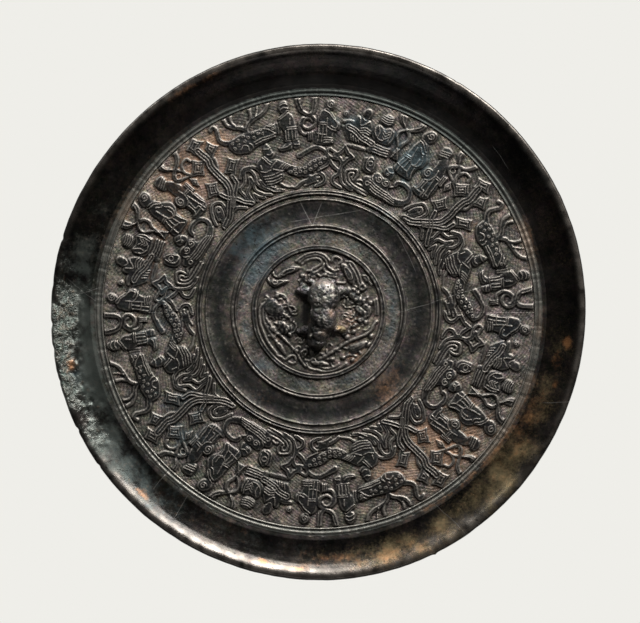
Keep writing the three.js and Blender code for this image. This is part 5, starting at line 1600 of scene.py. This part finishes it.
def build_crumbs(material):
    rim = bpy.data.objects["rim_and_face"]
    host = bpy.data.objects.new("crumb_host", rim.data.copy())
    marks = host.data.attributes["corroded"].data
    for vert, mark in zip(host.data.vertices, marks):
        if vert.co.z < 2.6 * MM or math.hypot(vert.co.x, vert.co.y) > 91.2 * MM:
            mark.value = 0.0
    bpy.context.scene.collection.objects.link(host)
    tree = make_crumb_tree()
    scatter = host.modifiers.new("scatter", "NODES")
    scatter.node_group = tree
    wanted = {"Density": 1.2e6, "Smallest": 0.08 * MM, "Largest": 0.42 * MM, "Seed": 11, "Material": material}
    for item in tree.interface.items_tree:
        if item.in_out == "INPUT" and item.name in wanted:
            scatter[item.identifier] = wanted[item.name]
    crumbs = settle(host, "corrosion_crumbs")
    finish_piece(crumbs)


# ---------------------------------------------------------------- floor, light and camera

def build_floor():
    mesh = bpy.data.meshes.new("floor")
    reach = 3.0
    low = -0.0004
    mesh.from_pydata([(-reach, -reach, low), (reach, -reach, low), (reach, reach, low), (-reach, reach, low)],
                     [], [(0, 1, 2, 3)])
    floor = bpy.data.objects.new("floor", mesh)
    bpy.context.scene.collection.objects.link(floor)
    material = bpy.data.materials.new("pale_floor")
    material.use_nodes = True
    tree = material.node_tree
    tree.nodes.clear()
    glow = put(tree, "ShaderNodeEmission", {"Color": (0.863, 0.855, 0.815, 1), "Strength": 1.0})
    out = put(tree, "ShaderNodeOutputMaterial")
    tree.links.new(glow.outputs[0], out.inputs["Surface"])
    mesh.materials.append(material)


def add_softbox(name, azimuth, height, distance, width, tall, power, colour):
    """A soft rectangular light aimed at the middle of the mirror; angles in degrees."""
    light = bpy.data.lights.new(name, "AREA")
    light.shape = "RECTANGLE"
    light.size = width
    light.size_y = tall
    light.energy = power
    light.color = colour
    holder = bpy.data.objects.new(name, light)
    a, e = math.radians(azimuth), math.radians(height)
    x, y = distance * math.cos(e) * math.cos(a), distance * math.cos(e) * math.sin(a)
    holder.location = (x, y, distance * math.sin(e))
    holder.rotation_euler = (math.pi / 2 - e, 0.0, a + math.pi / 2)
    bpy.context.scene.collection.objects.link(holder)


def set_light():
    add_softbox("rim_softbox", 68, 35, 1.25, 0.95, 0.5, 34.0, (1.0, 0.99, 0.98))
    add_softbox("raking_softbox", 60, 16, 1.3, 0.4, 0.22, 26.0, (1.0, 0.985, 0.96))
    add_softbox("side_softbox", 124, 19, 1.3, 0.4, 0.25, 11.0, (0.97, 0.99, 1.0))
    add_softbox("low_fill", 266, 52, 1.4, 0.7, 0.4, 1.2, (1.0, 1.0, 1.0))
    world = bpy.data.worlds.new("dim_room")
    bpy.context.scene.world = world
    world.use_nodes = True
    world.node_tree.nodes["Background"].inputs["Color"].default_value = (0.8, 0.85, 0.9, 1)
    world.node_tree.nodes["Background"].inputs["Strength"].default_value = 0.008
    bpy.context.scene.view_settings.view_transform = "Standard"


def set_camera():
    camera = bpy.data.cameras.new("camera")
    holder = bpy.data.objects.new("camera", camera)
    bpy.context.scene.collection.objects.link(holder)
    distance = 2.4
    lip_height = 0.0045
    frame_width = 0.2212
    camera.sensor_width = 36.0
    camera.lens = camera.sensor_width * (distance - lip_height) / frame_width
    camera.clip_end = 20.0
    holder.location = (0.00046, 0.00017, distance)
    holder.rotation_euler = (0.0, 0.0, 0.0)
    bpy.context.scene.camera = holder


def build_mirror():
    groups = {
        "mottle": make_mottle_group(),
        "stain": make_stain_group(),
        "skin": make_surface_group(),
        "flecks": make_fleck_group(),
        "hairline": make_hairline_group(),
    }
    relief = make_bronze("figured_bronze", groups, (0.042, 0.037, 0.032, 1), (0.146, 0.127, 0.106, 1),
                         (0.019, 0.0195, 0.0185, 1), 0.6, 0.5, 0.5, 0.3)
    smooth = make_bronze("rim_bronze", groups, (0.016, 0.014, 0.012, 1), (0.045, 0.04, 0.034, 1),
                         (0.018, 0.0145, 0.012, 1), 0.4, 0.24, 0.2)
    knob = make_bronze("knob_bronze", groups, (0.06, 0.055, 0.05, 1), (0.2, 0.18, 0.165, 1),
                       (0.17, 0.16, 0.152, 1), 0.48, 0.36, 2.4)
    crust = make_bronze("crumb_bronze", groups, (0.05, 0.05, 0.04, 1), (0.12, 0.12, 0.1, 1),
                        (0.1, 0.1, 0.085, 1), 0.7, 0.65, 0.6)
    build_rim(smooth)
    build_band(relief)
    build_middle(relief)
    build_field(relief)
    build_knob(knob)
    build_crumbs(crust)


set_camera()
set_light()
build_floor()
build_mirror()
